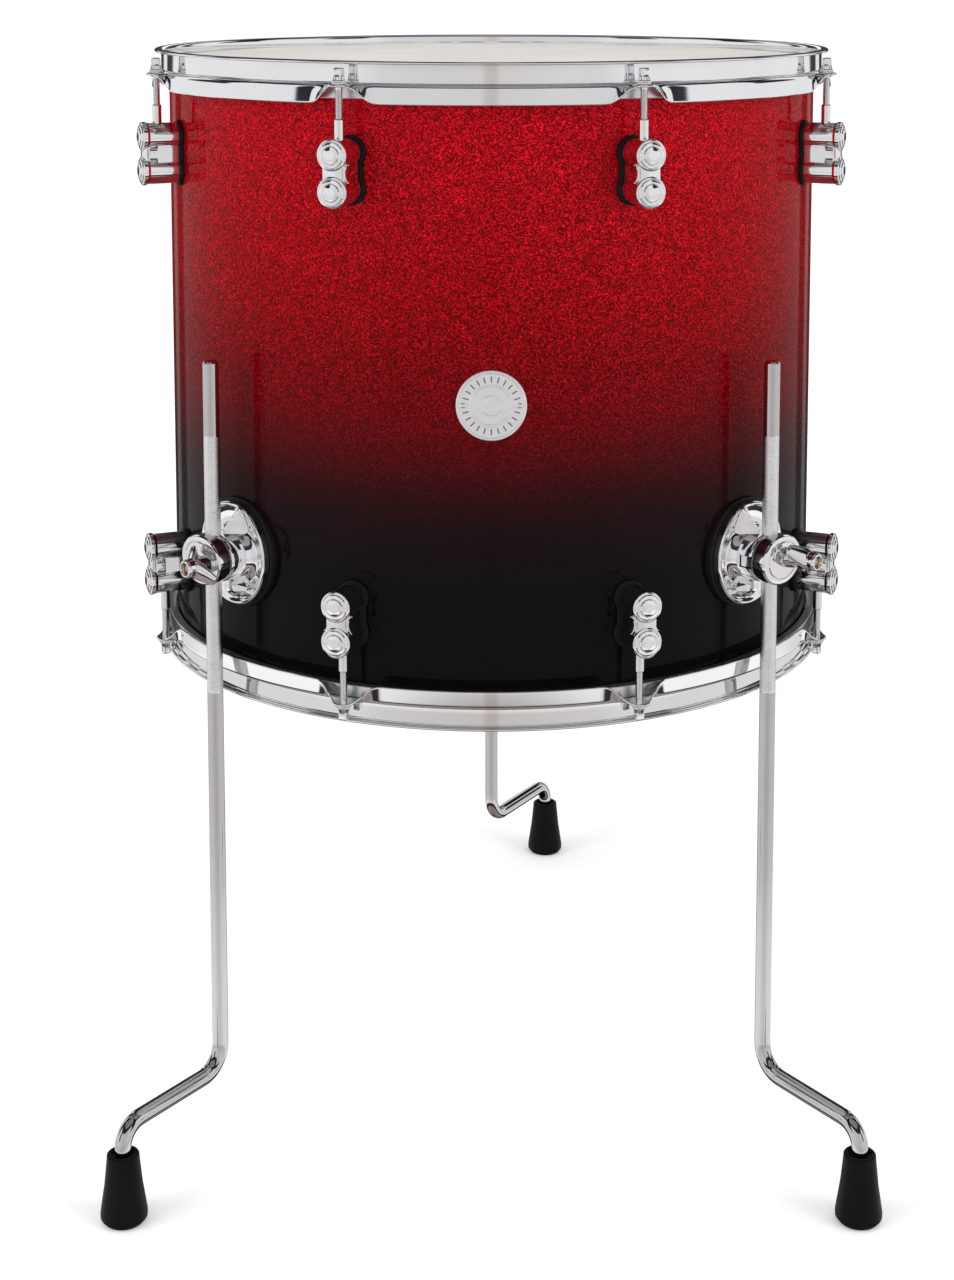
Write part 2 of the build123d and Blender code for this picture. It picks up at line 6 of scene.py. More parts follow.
import bmesh
import bpy
import numpy as np
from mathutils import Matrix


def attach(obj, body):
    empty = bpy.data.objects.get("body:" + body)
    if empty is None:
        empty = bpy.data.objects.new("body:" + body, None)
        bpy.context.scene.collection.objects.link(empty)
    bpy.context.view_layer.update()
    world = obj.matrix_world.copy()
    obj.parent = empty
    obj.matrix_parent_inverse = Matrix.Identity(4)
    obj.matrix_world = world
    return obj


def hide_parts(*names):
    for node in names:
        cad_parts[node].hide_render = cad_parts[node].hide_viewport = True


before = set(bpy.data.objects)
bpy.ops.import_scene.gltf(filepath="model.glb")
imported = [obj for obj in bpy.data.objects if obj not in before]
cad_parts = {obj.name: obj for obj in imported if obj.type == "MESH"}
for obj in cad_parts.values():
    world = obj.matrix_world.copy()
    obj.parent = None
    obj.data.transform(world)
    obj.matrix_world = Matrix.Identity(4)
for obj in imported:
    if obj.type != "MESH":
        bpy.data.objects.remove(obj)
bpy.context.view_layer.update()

MM = 0.001
TAU = 2 * math.pi
YC = -40.70818  # the drum's own axis stands in front of the origin
Z_MID = 530.0
Z_LUG = 672.0
BRACKET_Z = 414.0
LUG_AZ = [22.5 + 45 * i for i in range(8)]
SIDES = {"left": -46.5, "right": 46.5, "rear": 180.0}
NUT_TILT = {"left": 35.0, "right": 35.0, "rear": 15.0}
LEG_WAY = {"left": -35.2, "right": 35.2, "rear": 148.5}
STUD_T = 11.0
ROD_CIRCLE = 244.5
LEG_CIRCLE = 250.7


# ------------------------------------------------------------------ mesh kit
def rounded(pts, n=5, closed=False):
    """Polyline with rounded corners from points (a, b) or (a, b, radius)."""
    out = []
    last = len(pts) - 1
    for i, p in enumerate(pts):
        r = p[2] if len(p) > 2 else 0
        c = np.array(p[:2], float)
        if r <= 0 or (not closed and i in (0, last)):
            out.append(c)
            continue
        va = np.array(pts[i - 1][:2], float) - c
        vb = np.array(pts[(i + 1) % len(pts)][:2], float) - c
        la, lb = np.linalg.norm(va), np.linalg.norm(vb)
        va, vb = va / la, vb / lb
        ang = math.acos(max(-1, min(1, float(va @ vb))))
        if ang > 3.05:
            out.append(c)
            continue
        d = min(r / math.tan(ang / 2), 0.48 * la, 0.48 * lb)
        rr = d * math.tan(ang / 2)
        mid = c + (va + vb) / np.linalg.norm(va + vb) * (rr / math.sin(ang / 2))
        v0, v1 = (c + va * d - mid) / rr, (c + vb * d - mid) / rr
        om = math.acos(max(-1, min(1, float(v0 @ v1))))
        for k in range(n + 1):
            t = k / n
            w = (math.sin((1 - t) * om) * v0 + math.sin(t * om) * v1) / math.sin(om)
            out.append(mid + rr * w)
    return np.array(out)


def spin(profile, n, centre=(0.0, 0.0), axis="z", phase=0.0):
    """Grid from turning (radius, height) about a line. axis z: height is z and the
    line stands at (u, t) = centre. axis u: height is u and centre is (t, z)."""
    th = np.arange(n) / n * TAU + phase
    r = profile[:, 0][None, :]
    h = np.broadcast_to(profile[:, 1][None, :], (n, len(profile)))
    c, s = np.cos(th)[:, None], np.sin(th)[:, None]
    if axis == "z":
        return np.stack([centre[0] + r * c, centre[1] + r * s, h], -1)
    return np.stack([h, centre[0] + r * c, centre[1] + r * s], -1)


def place(P, az, zc=0.0, low=False):
    """Local (u outward, t along the tangent, z) at azimuth az to the row frame."""
    a = math.radians(az)
    u, t, z = P[..., 0], P[..., 1], P[..., 2] + zc
    x = u * math.sin(a) + t * math.cos(a)
    y = YC - u * math.cos(a) + t * math.sin(a)
    return np.stack([x, y, 2 * Z_MID - z if low else z], -1)


class Build:
    """Gathers grids and face lists into one mesh."""

    def __init__(self):
        self.v, self.f, self.m, self.n = [], [], [], 0

    def grid(self, P, cu=False, cv=False, mat=0):
        a, b = P.shape[:2]
        idx = np.arange(a * b).reshape(a, b) + self.n
        if cu:
            idx = np.vstack([idx, idx[:1]])
        if cv:
            idx = np.hstack([idx, idx[:, :1]])
        q = np.stack([idx[:-1, :-1], idx[1:, :-1], idx[1:, 1:], idx[:-1, 1:]], -1)
        q = q.reshape(-1, 4)
        self.v.append(P.reshape(-1, 3))
        self.f += q.tolist()
        self.m += [mat] * len(q)
        self.n += a * b
        return self

    def faces(self, verts, faces, mat=0):
        self.v.append(np.asarray(verts, float))
        self.f += [[i + self.n for i in f] for f in faces]
        self.m += [mat] * len(faces)
        self.n += len(verts)
        return self

    def many(self, other, azimuths, zc=0.0, low=False):
        """Copies of a local build at each azimuth."""
        verts = np.vstack(other.v)
        for az in azimuths:
            self.v.append(place(verts, az, zc, low))
            self.f += [[i + self.n for i in f] for f in other.f]
            self.m += other.m
            self.n += len(verts)
        return self

    def mesh(self, name, unit=MM, weld=1e-4):
        me = bpy.data.meshes.new(name)
        me.from_pydata((np.vstack(self.v) * unit).tolist(), [], self.f)
        me.polygons.foreach_set("material_index", self.m)
        bm = bmesh.new()
        bm.from_mesh(me)
        bmesh.ops.remove_doubles(bm, verts=bm.verts, dist=weld * unit)
        bmesh.ops.recalc_face_normals(bm, faces=bm.faces)
        bm.to_mesh(me)
        bm.free()
        return me


def piece(name, build, mats, body, nodes, angle=32):
    me = build.mesh(name)
    for m in mats:
        me.materials.append(m)
    me.polygons.foreach_set("use_smooth", [True] * len(me.polygons))
    me.set_sharp_from_angle(angle=math.radians(angle))
    obj = bpy.data.objects.new(name, me)
    bpy.context.scene.collection.objects.link(obj)
    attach(obj, body)
    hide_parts(*nodes)
    return obj


def solidify_steps(build, cutters=(), union=(), remesh=None, smooth=0):
    """Runs booleans, a voxel remesh and a smooth on a local build (in mm)."""
    temp = []

    def to_obj(b, tag):
        o = bpy.data.objects.new(tag, b.mesh(tag, unit=1.0, weld=1e-4))
        bpy.context.scene.collection.objects.link(o)
        temp.append(o)
        return o

    base = to_obj(build, "work")
    for i, b in enumerate(union):
        m = base.modifiers.new("u%d" % i, "BOOLEAN")
        m.operation, m.solver, m.object = "UNION", "EXACT", to_obj(b, "union")
    if remesh:
        m = base.modifiers.new("r", "REMESH")
        m.mode, m.voxel_size = "VOXEL", remesh
    if smooth:
        m = base.modifiers.new("s", "SMOOTH")
        m.factor, m.iterations = 0.5, smooth
    for i, b in enumerate(cutters):
        m = base.modifiers.new("c%d" % i, "BOOLEAN")
        m.operation, m.solver, m.object = "DIFFERENCE", "EXACT", to_obj(b, "cut")
    dg = bpy.context.evaluated_depsgraph_get()
    e = base.evaluated_get(dg)
    me = e.to_mesh()
    co = np.empty(len(me.vertices) * 3)
    me.vertices.foreach_get("co", co)
    faces = [list(p.vertices) for p in me.polygons]
    e.to_mesh_clear()
    for o in temp:
        data = o.data
        bpy.data.objects.remove(o)
        bpy.data.meshes.remove(data)
    return Build().faces(co.reshape(-1, 3), faces)


def block(u0, u1, t0, t1, z0, z1):
    """A cutter with square corners."""
    v = [(u, t, z) for u in (u0, u1) for t in (t0, t1) for z in (z0, z1)]
    f = [(0, 1, 3, 2), (4, 6, 7, 5), (0, 4, 5, 1), (2, 3, 7, 6), (0, 2, 6, 4), (1, 5, 7, 3)]
    return Build().faces(v, f)


def smoothstep(x):
    x = np.clip(x, 0, 1)
    return x * x * (3 - 2 * x)


# ----------------------------------------------------------------- materials
class Mat:
    """Short way of writing a node material round one Principled shader."""

    def __init__(self, name):
        self.mat = bpy.data.materials.new(name)
        self.mat.use_nodes = True
        self.nt = self.mat.node_tree
        self.nt.nodes.clear()
        self.out = self.nt.nodes.new("ShaderNodeOutputMaterial")
        self.b = self.nt.nodes.new("ShaderNodeBsdfPrincipled")
        self.nt.links.new(self.b.outputs[0], self.out.inputs[0])

    def new(self, kind, **props):
        n = self.nt.nodes.new("ShaderNode" + kind)
        for k, v in props.items():
            setattr(n, k, v)
        return n

    def put(self, socket, value):
        if isinstance(value, bpy.types.NodeSocket):
            self.nt.links.new(value, socket)
        elif value is not None:
            socket.default_value = value

    def set(self, **values):
        for k, v in values.items():
            self.put(self.b.inputs[k.replace("_", " ")], v)
        return self

    def math(self, op, a, b=0.0, c=None, clamp=False):
        n = self.new("Math", operation=op, use_clamp=clamp)
        self.put(n.inputs[0], a)
        self.put(n.inputs[1], b)
        if c is not None:
            self.put(n.inputs[2], c)
        return n.outputs[0]

    def vmath(self, op, a, b=None, scale=None):
        n = self.new("VectorMath", operation=op)
        self.put(n.inputs[0], a)
        self.put(n.inputs[1], b)
        if scale is not None:
            self.put(n.inputs["Scale"], scale)
        return n.outputs["Value" if op in ("LENGTH", "DOT_PRODUCT") else "Vector"]

    def coords(self):
        return self.new("TexCoord").outputs["Object"]

    def xyz(self, vec):
        n = self.new("SeparateXYZ")
        self.put(n.inputs[0], vec)
        return n.outputs

    def noise(self, vec, scale, detail=3.0, rough=0.5):
        n = self.new("TexNoise")
        self.put(n.inputs["Vector"], vec)
        n.inputs["Scale"].default_value = scale
        n.inputs["Detail"].default_value = detail
        n.inputs["Roughness"].default_value = rough
        return n.outputs["Fac"]

    def span(self, v, a, b, c, d):
        n = self.new("MapRange")
        for s, x in zip(range(5), (v, a, b, c, d)):
            self.put(n.inputs[s], x)
        return n.outputs[0]

    def ramp(self, fac, stops, mode="LINEAR"):
        n = self.new("ValToRGB")
        self.put(n.inputs[0], fac)
        r = n.color_ramp
        r.interpolation = mode
        while len(r.elements) < len(stops):
            r.elements.new(0.5)
        for e, (p, c) in zip(r.elements, stops):
            e.position = p
        for e, (p, c) in zip(r.elements, stops):
            e.color = (*c, 1) if len(c) == 3 else c
        return n.outputs[0]

    def mix(self, fac, a, b, blend="MIX"):
        n = self.new("Mix", data_type="RGBA", blend_type=blend)
        self.put(n.inputs[0], fac)
        self.put(n.inputs[6], (*a, 1) if isinstance(a, tuple) and len(a) == 3 else a)
        self.put(n.inputs[7], (*b, 1) if isinstance(b, tuple) and len(b) == 3 else b)
        return n.outputs[2]

    def bump(self, height, strength, distance, normal=None):
        n = self.new("Bump")
        n.inputs["Strength"].default_value = strength
        n.inputs["Distance"].default_value = distance
        self.put(n.inputs["Height"], height)
        if normal is not None:
            self.put(n.inputs["Normal"], normal)
        return n.outputs[0]

    def edge(self, lo=0.505, hi=0.56):
        """1 on worn outer edges, 0 on flat faces."""
        return self.span(self.new("NewGeometry").outputs["Pointiness"], lo, hi, 0.0, 1.0)


def lin(*rgb):
    return tuple(
        (c / 255 / 12.92) if c / 255 <= 0.04045 else ((c / 255 + 0.055) / 1.055) ** 2.4
        for c in rgb
    )


def metal(name, tint, rough=(0.04, 0.1), cloud=35.0, grain=1400.0, bump=0.04, worn=0.25, wear=None):
    """Plated metal: faint clouding, uneven polish, fine grain, rubbed edges."""
    k = Mat(name)
    co = k.coords()
    clouds = k.noise(co, cloud, 4.0, 0.6)
    fine = k.noise(co, grain, 2.0, 0.5)
    edge = k.math("MULTIPLY", k.edge(), k.noise(co, 160.0, 3.0, 0.7), clamp=True)
    dark = tuple(c * 0.93 for c in tint)
    colour = k.mix(k.span(clouds, 0.3, 0.7, 0, 1), dark, tint)
    colour = k.mix(edge, colour, wear or tuple(min(1, c * 1.08) for c in tint))
    base = k.span(clouds, 0.25, 0.75, rough[0], rough[1])
    base = k.math("ADD", base, k.math("MULTIPLY", edge, worn))
    base = k.math("ADD", base, k.math("MULTIPLY", k.span(fine, 0.35, 0.75, 0, 1), 0.02))
    k.set(Base_Color=colour, Metallic=1.0, Roughness=base)
    k.set(Normal=k.bump(fine, bump, 0.00002))
    return k


def rubber(name, tone, rough, pores=900.0, bump=0.25, shine=0.35):
    k = Mat(name)
    co = k.coords()
    big = k.noise(co, 28.0, 4.0, 0.6)
    fine = k.noise(co, pores, 3.0, 0.6)
    edge = k.math("MULTIPLY", k.edge(0.51, 0.6), k.noise(co, 240.0), clamp=True)
    c = k.mix(k.span(big, 0.3, 0.7, 0, 1), (tone * 0.7,) * 3, (tone * 1.25,) * 3)
    c = k.mix(edge, c, (tone * 3 + 0.004,) * 3)
    k.set(Base_Color=c, Roughness=k.span(big, 0.3, 0.7, rough - 0.06, rough + 0.08))
    k.set(Specular_IOR_Level=shine, Normal=k.bump(fine, bump, 0.00008))
    return k


def lacquer():
    """Red sparkle under clear gloss, sprayed down to black near the bottom."""
    k = Mat("sparkle_fade_lacquer")
    co = k.coords()
    z = k.xyz(co)[2]
    drift = k.math("SUBTRACT", k.noise(co, 7.0, 2.0, 0.5), 0.5)
    mist = k.math("SUBTRACT", k.noise(co, 420.0, 2.0, 0.6), 0.5)
    zz = k.math("ADD", z, k.math("MULTIPLY", drift, 0.012))
    zz = k.math("ADD", zz, k.math("MULTIPLY", mist, 0.012))
    fac = k.span(zz, 0.390, 0.730, 0.0, 1.0)
    stops = [
        (400, (8, 8, 9)), (415, (9, 8, 9)), (431, (14, 8, 9)), (448, (22, 8, 10)),
        (464, (35, 8, 10)), (480, (54, 7, 10)), (496, (73, 6, 10)), (512, (91, 5, 10)),
        (528, (105, 5, 11)), (561, (125, 5, 12)), (593, (140, 5, 14)), (625, (147, 6, 16)),
        (658, (155, 7, 19)), (706, (165, 8, 22)),
    ]
    body = k.ramp(fac, [((h - 390) / 340, lin(*c)) for h, c in stops])
    red = k.span(zz, 0.425, 0.545, 0.0, 1.0)
    cells, tilt = [], None
    for scale in (1250.0, 2500.0):
        v = k.new("TexVoronoi", feature="F1")
        k.put(v.inputs["Vector"], co)
        v.inputs["Scale"].default_value = scale
        v.inputs["Randomness"].default_value = 1.0
        cells.append(v.outputs["Color"])
    one, two = k.new("SeparateColor"), k.new("SeparateColor")
    k.put(one.inputs[0], cells[0])
    k.put(two.inputs[0], cells[1])
    # most flakes sit near the middle tone and a few go dark; a few get a painted glint, extra brightness added to
    # their base colour
    bright = k.math("POWER", one.outputs[0], 2.2)
    bright = k.span(bright, 0.0, 1.0, 0.42, 2.40)
    small = k.span(two.outputs[0], 0.0, 1.0, 0.72, 1.28)
    gain = k.math("MULTIPLY", bright, small)
    # painted glint: the chosen flakes' base colour is lifted to stand in for reflected sparkle
    painted_glint = k.math("GREATER_THAN", one.outputs[1], 0.972)
    gain = k.math("ADD", gain, k.math("MULTIPLY", painted_glint, 2.0))
    gain = k.math("ADD", 1.0, k.math("MULTIPLY", k.math("SUBTRACT", gain, 1.0), red))
    scaled = k.vmath("SCALE", body, scale=gain)
    k.set(Base_Color=scaled)
    normal = k.new("NewGeometry").outputs["Normal"]
    lean = k.vmath("SUBTRACT", cells[0], (0.5, 0.5, 0.5))
    lean = k.vmath("SCALE", lean, scale=k.math("MULTIPLY", red, 0.55))
    k.set(Normal=k.vmath("NORMALIZE", k.vmath("ADD", normal, lean)))
    k.set(
        Metallic=k.math("MULTIPLY", red, 0.62),
        Roughness=k.span(one.outputs[2], 0, 1, 0.36, 0.52),
        Specular_IOR_Level=0.02,
        Specular_Tint=(0.30, 0.03, 0.04, 1.0),
        Coat_Weight=0.27,
        Coat_IOR=1.32,
        Coat_Roughness=k.span(k.noise(co, 18.0, 4.0, 0.6), 0.3, 0.7, 0.008, 0.03),
    )
    k.set(Coat_Normal=k.bump(k.noise(co, 55.0, 2.0, 0.5), 0.02, 0.0004))
    return k


def maple():
    k = Mat("maple_inside")
    co = k.coords()
    x, y, z = k.xyz(co)
    ang = k.math("MULTIPLY", k.math("ARCTAN2", x, k.math("SUBTRACT", y, YC * MM)), 0.223)
    comb = k.new("CombineXYZ")
    k.put(comb.inputs[0], k.math("MULTIPLY", ang, 0.06))
    k.put(comb.inputs[1], z)
    grain = k.noise(comb.outputs[0], 260.0, 5.0, 0.62)
    cloud = k.noise(co, 9.0, 3.0, 0.6)
    c = k.ramp(grain, [(0.3, (0.47, 0.29, 0.14)), (0.5, (0.63, 0.43, 0.24)), (0.72, (0.74, 0.55, 0.34))])
    c = k.mix(k.span(cloud, 0.3, 0.7, 0, 0.35), c, (0.52, 0.33, 0.17))
    # glue lines between the plies show on the cut edge
    r = k.vmath("LENGTH", k.vmath("MULTIPLY", k.vmath("SUBTRACT", co, (0, YC * MM, 0)), (1, 1, 0)))
    ply = k.math("PINGPONG", k.math("MULTIPLY", r, 1250.0), 0.5)
    c = k.mix(k.span(ply, 0.0, 0.1, 0.5, 0.0), c, (0.25, 0.13, 0.06))
    k.set(Base_Color=c, Roughness=k.span(grain, 0.3, 0.7, 0.42, 0.6), Coat_Weight=0.15)
    k.set(Coat_Roughness=0.3, Normal=k.bump(grain, 0.2, 0.0002))
    return k


def film(name, clear):
    k = Mat(name)
    co = k.coords()
    r = k.vmath("LENGTH", k.vmath("MULTIPLY", k.vmath("SUBTRACT", co, (0, YC * MM, 0)), (1, 1, 0)))
    cloud = k.noise(co, 16.0, 4.0, 0.6)
    speck = k.noise(co, 1700.0, 2.0, 0.7)
    if clear:
        c = k.mix(k.span(cloud, 0.3, 0.7, 0, 1), (0.80, 0.82, 0.83), (0.90, 0.92, 0.93))
        k.set(Base_Color=c, Roughness=k.span(cloud, 0.3, 0.7, 0.04, 0.12), IOR=1.45)
        k.set(Alpha=k.span(speck, 0.2, 0.8, 0.34, 0.42), Normal=k.bump(cloud, 0.05, 0.0005))
        return k
    white = k.mix(k.span(cloud, 0.3, 0.7, 0, 1), (0.64, 0.60, 0.56), (0.71, 0.675, 0.64))
    bare = k.mix(k.span(cloud, 0.3, 0.7, 0, 1), (0.66, 0.67, 0.66), (0.74, 0.75, 0.74))
    edge = k.math("ADD", r, k.math("MULTIPLY", k.math("SUBTRACT", speck, 0.5), 0.0012))
    rim = k.span(edge, 0.2198, 0.2206, 0, 1)
    k.set(Base_Color=k.mix(rim, white, bare))
    k.set(Roughness=k.math("SUBTRACT", k.span(speck, 0.2, 0.8, 0.52, 0.72), k.math("MULTIPLY", rim, 0.35)))
    k.set(Normal=k.bump(speck, 0.3, 0.00006))
    return k


def badge_face():
    """Brushed plate: fine lines along its length; the darker filled pattern takes the separate badge_fill material.
    """
    k = Mat("badge_plate")
    co = k.coords()
    x, y, z = k.xyz(co)
    comb = k.new("CombineXYZ")
    k.put(comb.inputs[0], k.math("MULTIPLY", x, 0.04))
    k.put(comb.inputs[2], z)
    lines = k.noise(comb.outputs[0], 2600.0, 3.0, 0.7)
    cloud = k.noise(co, 60.0, 3.0, 0.6)
    c = k.mix(k.span(lines, 0.3, 0.7, 0, 1), (0.70, 0.70, 0.71), (0.90, 0.90, 0.91))
    c = k.mix(k.span(cloud, 0.3, 0.7, 0, 0.3), c, (0.74, 0.74, 0.76))
    edge = k.edge(0.51, 0.58)
    c = k.mix(edge, c, (0.9, 0.9, 0.91))
    k.set(Base_Color=c, Metallic=0.85, Roughness=k.span(lines, 0.3, 0.7, 0.3, 0.46))
    k.set(Normal=k.bump(lines, 0.15, 0.00003))
    return k


CHROME = (0.90, 0.905, 0.915)
M_LACQUER = lacquer().mat
M_MAPLE = maple().mat
M_WHITE = film("coated_white", False).mat
M_CLEAR = film("clear_polyester", True).mat
M_HOOP = metal("hoop_chrome", CHROME, (0.02, 0.06), cloud=14.0, bump=0.02, worn=0.12).mat
M_CAST = metal("casting_chrome", CHROME, (0.03, 0.07), cloud=60.0, bump=0.03, worn=0.10).mat
M_STEEL = metal("steel_chrome", (0.87, 0.875, 0.885), (0.05, 0.11), cloud=90.0, bump=0.05).mat
M_ROD = metal("leg_chrome", tuple(c * 0.70 for c in CHROME), (0.03, 0.08), cloud=22.0, bump=0.03, worn=0.05).mat
M_KNURL = metal("leg_knurl", (0.90, 0.90, 0.91), (0.16, 0.26), cloud=60.0, bump=0.05).mat
M_ZINC = metal("zinc_plate", (0.60, 0.58, 0.55), (0.26, 0.40), cloud=220.0, bump=0.2, worn=0.1, wear=(0.75, 0.74, 0.72)).mat
# painted reflection: the copper tint of the stud and its rubbed edges stands in for a warm surround mirrored in the
# zinc
M_STUD = metal("zinc_painted_warm_reflection", (0.74, 0.50, 0.36), (0.26, 0.40), cloud=260.0, bump=0.2, worn=0.1, wear=(0.82, 0.66, 0.54)).mat
M_ALU = metal("drawn_aluminium", (0.78, 0.78, 0.79), (0.24, 0.34), cloud=40.0, bump=0.1).mat
M_BADGE = badge_face().mat
M_INK = rubber("badge_fill", 0.05, 0.45, bump=0.05).mat
M_GASKET = rubber("gasket_rubber_black", 0.005, 0.42, shine=0.10).mat
M_FOOT = rubber("foot_rubber_black", 0.004, 0.36, pores=1200.0, bump=0.2, shine=0.08).mat


# --------------------------------------------------------------------- shell
def around(profile, n=384):
    """Turns a (radius, z) profile about the drum's own axis."""
    P = spin(profile, n, (0, 0), "z")
    return np.stack([P[..., 0], YC + P[..., 1], P[..., 2]], -1)


R, T = 228.6, 5.6
z0, z1 = Z_MID - 203.2, Z_MID + 203.2
wall = rounded([(R - 1.7, z0), (R, z0 + 0.2, 1.2), (R, z1 - 0.2, 1.2), (R - 1.7, z1)], 4)
wall[0] = (R - 1.7, z0)
wall[-1] = (R - 1.7, z1)
# evenly spaced rings so that the wall shades cleanly
mid = np.stack([np.full(24, R), np.linspace(z0 + 3, z1 - 3, 24)], -1)
wall = np.vstack([wall[: len(wall) // 2], mid, wall[len(wall) // 2 :]])
inner = rounded([(R - 1.7, z1), (R - T, z1 - 3.9, 0.6), (R - T, z0 + 3.9, 0.6), (R - 1.7, z0)], 3)
b = Build().grid(around(wall, 512), cu=True, mat=0).grid(around(inner, 512), cu=True, mat=1)
piece("shell_body", b, [M_LACQUER, M_MAPLE], "drum", ["shell"])

# --------------------------------------------------- heads: films and collars
head = rounded(
    [(0, z1 + 0.06), (224, z1 + 0.06), (R + 0.12, z1 + 0.0, 0.9), (R + 0.45, z1 - 2, 0.3),
     (R + 0.45, 720.1), (R + 0.7, 720.1), (R + 0.7, z1 - 0.2, 1.2), (224, z1 + 0.3), (0, z1 + 0.3)], 4
)
chan = rounded(
    [(229.4, 716.8, 0.5), (235.4, 716.8, 0.8), (235.4, 724.7, 0.9), (229.4, 724.7, 0.6)], 4, closed=True
)
for low, fname, cname in ((False, "batter_film", "batter_collar"), (True, "resonant_film", "resonant_collar")):
    h, c = around(head, 384), around(chan, 384)
    if low:
        h[..., 2] = 2 * Z_MID - h[..., 2]
        c[..., 2] = 2 * Z_MID - c[..., 2]
    piece(fname + "_skin", Build().grid(h, cu=True), [M_CLEAR if low else M_WHITE], "drum",
          [fname])
    piece(cname + "_ring", Build().grid(c, cu=True, cv=True), [M_ALU], "drum", [cname])


# --------------------------------------------------------------------- hoops
def hoop(low):
    """Triple-flanged hoop: rolled lip, band, ledge, and a skirt that lifts into a
    flat ear at each rod."""
    near = np.arange(-25.2, 25.21, 0.7)
    far = np.linspace(25.9, 238 * math.radians(22.5), 22)[:-1]
    t = np.concatenate([-far[::-1], near, far, [238 * math.radians(22.5)]])
    t[-1] = t[-1] - 1e-9
    t = t[:-1]
    th = np.concatenate([np.radians(a) + t / 238.0 for a in LUG_AZ])
    tt = np.abs(np.tile(t, 8))
    length = np.interp(tt, [0, 3.0, 4.4, 5.6, 7.0, 8.6, 10.6, 13.2, 16.5, 20.0, 25.0],
                       [13.5, 13.45, 12.9, 11.4, 9.6, 8.2, 7.6, 8.5, 10.6, 12.0, 12.3])
    lean = np.interp(tt, [0, 5.0, 6.6, 8.6, 11.0, 14.0, 17.5, 21.5, 25.0],
                     [0, 0, -3, -15, -38, -62, -77, -82.5, -83.0])
    kern = np.exp(-0.5 * (np.arange(-3, 4) / 1.3) ** 2)
    kern /= kern.sum()
    n = len(tt)
    pad = lambda a: np.convolve(np.concatenate([a[-3:], a, a[:3]]), kern, "valid")
    length, lean = pad(length), np.radians(pad(lean))
    head_path = rounded([(237.9, 739.35), (236.6, 739.75, 1.2), (233.1, 739.75, 2.6), (233.1, 725.6, 1.7), (236.6, 725.6)], 6)
    m = len(head_path)
    sig = np.array([0.04, 0.08, 0.12, 0.17, 0.22, 0.28, 0.36, 0.46, 0.58, 0.70, 0.82, 0.92, 0.97, 1.0])
    s = length[:, None] * sig[None, :]
    ds = np.diff(np.concatenate([np.zeros((n, 1)), s], 1), axis=1)
    bend = np.clip((s - ds / 2) / 3.0, 0, 1) * lean[:, None]
    pr = 236.6 + np.cumsum(np.cos(bend) * ds, 1)
    pz = 725.6 + np.cumsum(np.sin(bend) * ds, 1)
    r = np.concatenate([np.broadcast_to(head_path[:, 0], (n, m)), pr], 1)
    z = np.concatenate([np.broadcast_to(head_path[:, 1], (n, m)), pz], 1)
    dr, dz = np.gradient(r, axis=1), np.gradient(z, axis=1)
    mag = np.hypot(dr, dz)
    tr, tz = dr / mag, dz / mag
    half = 0.86
    # out and back along the two faces, with rounded ends
    cap = [(0.9, 0.28), (0.6, 0.62), (0.0, 0.80), (-0.6, 0.62), (-0.9, 0.28)]
    end_r = np.stack([r[:, -1] + tz[:, -1] * half * a + tr[:, -1] * b * 0.9 for a, b in cap], 1)
    end_z = np.stack([z[:, -1] - tr[:, -1] * half * a + tz[:, -1] * b * 0.9 for a, b in cap], 1)
    st_r = np.stack([r[:, 0] - tz[:, 0] * half * a - tr[:, 0] * b * 0.9 for a, b in cap], 1)
    st_z = np.stack([z[:, 0] + tr[:, 0] * half * a - tz[:, 0] * b * 0.9 for a, b in cap], 1)
    ring_r = np.concatenate([r + tz * half, end_r, (r - tz * half)[:, ::-1], st_r], 1)
    ring_z = np.concatenate([z - tr * half, end_z, (z + tr * half)[:, ::-1], st_z], 1)
    x = ring_r * np.sin(th)[:, None]
    y = YC - ring_r * np.cos(th)[:, None]
    if low:
        ring_z = 2 * Z_MID - ring_z
    return np.stack([x, y, ring_z], -1)


for low, name in ((False, "batter_hoop"), (True, "resonant_hoop")):
    piece(name + "_chrome", Build().grid(hoop(low), cu=True, cv=True), [M_HOOP], "drum", [name], angle=40)


# ---------------------------------------------------------------------- lugs
def peanut(r, waist, n=128, soft=0.9):
    """Closed outline (t, z) of two circles joined by a straight waist."""
    dz = math.sqrt(r * r - waist * waist)
    a0 = math.asin(dz / r)
    top = [(r * math.sin(a), 11.5 + r * math.cos(a)) for a in np.linspace(0, math.pi / 2 + a0, 40)]
    side = [(waist, z) for z in np.linspace(11.5 - dz, -11.5 + dz, 12)[1:-1]]
    right = top + side + [(x, -z) for x, z in reversed(top)]
    full = np.array(right + [(-x, z) for x, z in reversed(right[1:-1])])
    loop = np.vstack([full, full[:1]])
    d = np.concatenate([[0], np.cumsum(np.linalg.norm(np.diff(loop, axis=0), axis=1))])
    q = np.arange(n) / n * d[-1]
    out = np.stack([np.interp(q, d, loop[:, 0]), np.interp(q, d, loop[:, 1])], -1)
    step = d[-1] / n
    w = int(3 * soft / step) + 1
    kern = np.exp(-0.5 * (np.arange(-w, w + 1) * step / soft) ** 2)
    kern /= kern.sum()
    for i in (0, 1):
        col = out[:, i]
        out[:, i] = np.convolve(np.concatenate([col[-w:], col, col[:w]]), kern, "valid")
    return out


def inset(loop, d):
    """Moves a closed outline inwards by d."""
    t = np.roll(loop, -1, 0) - np.roll(loop, 1, 0)
    t /= np.linalg.norm(t, axis=1)[:, None]
    nrm = np.stack([t[:, 1], -t[:, 0]], -1)
    if np.sum(nrm * loop) < 0:
        nrm = -nrm
    return loop - nrm * d


def stack(loop, layers):
    """Closed grid from an outline at each (u, inset)."""
    return np.stack(
        [np.concatenate([np.full((len(loop), 1), u), inset(loop, d)], 1) for u, d in layers], 1
    )


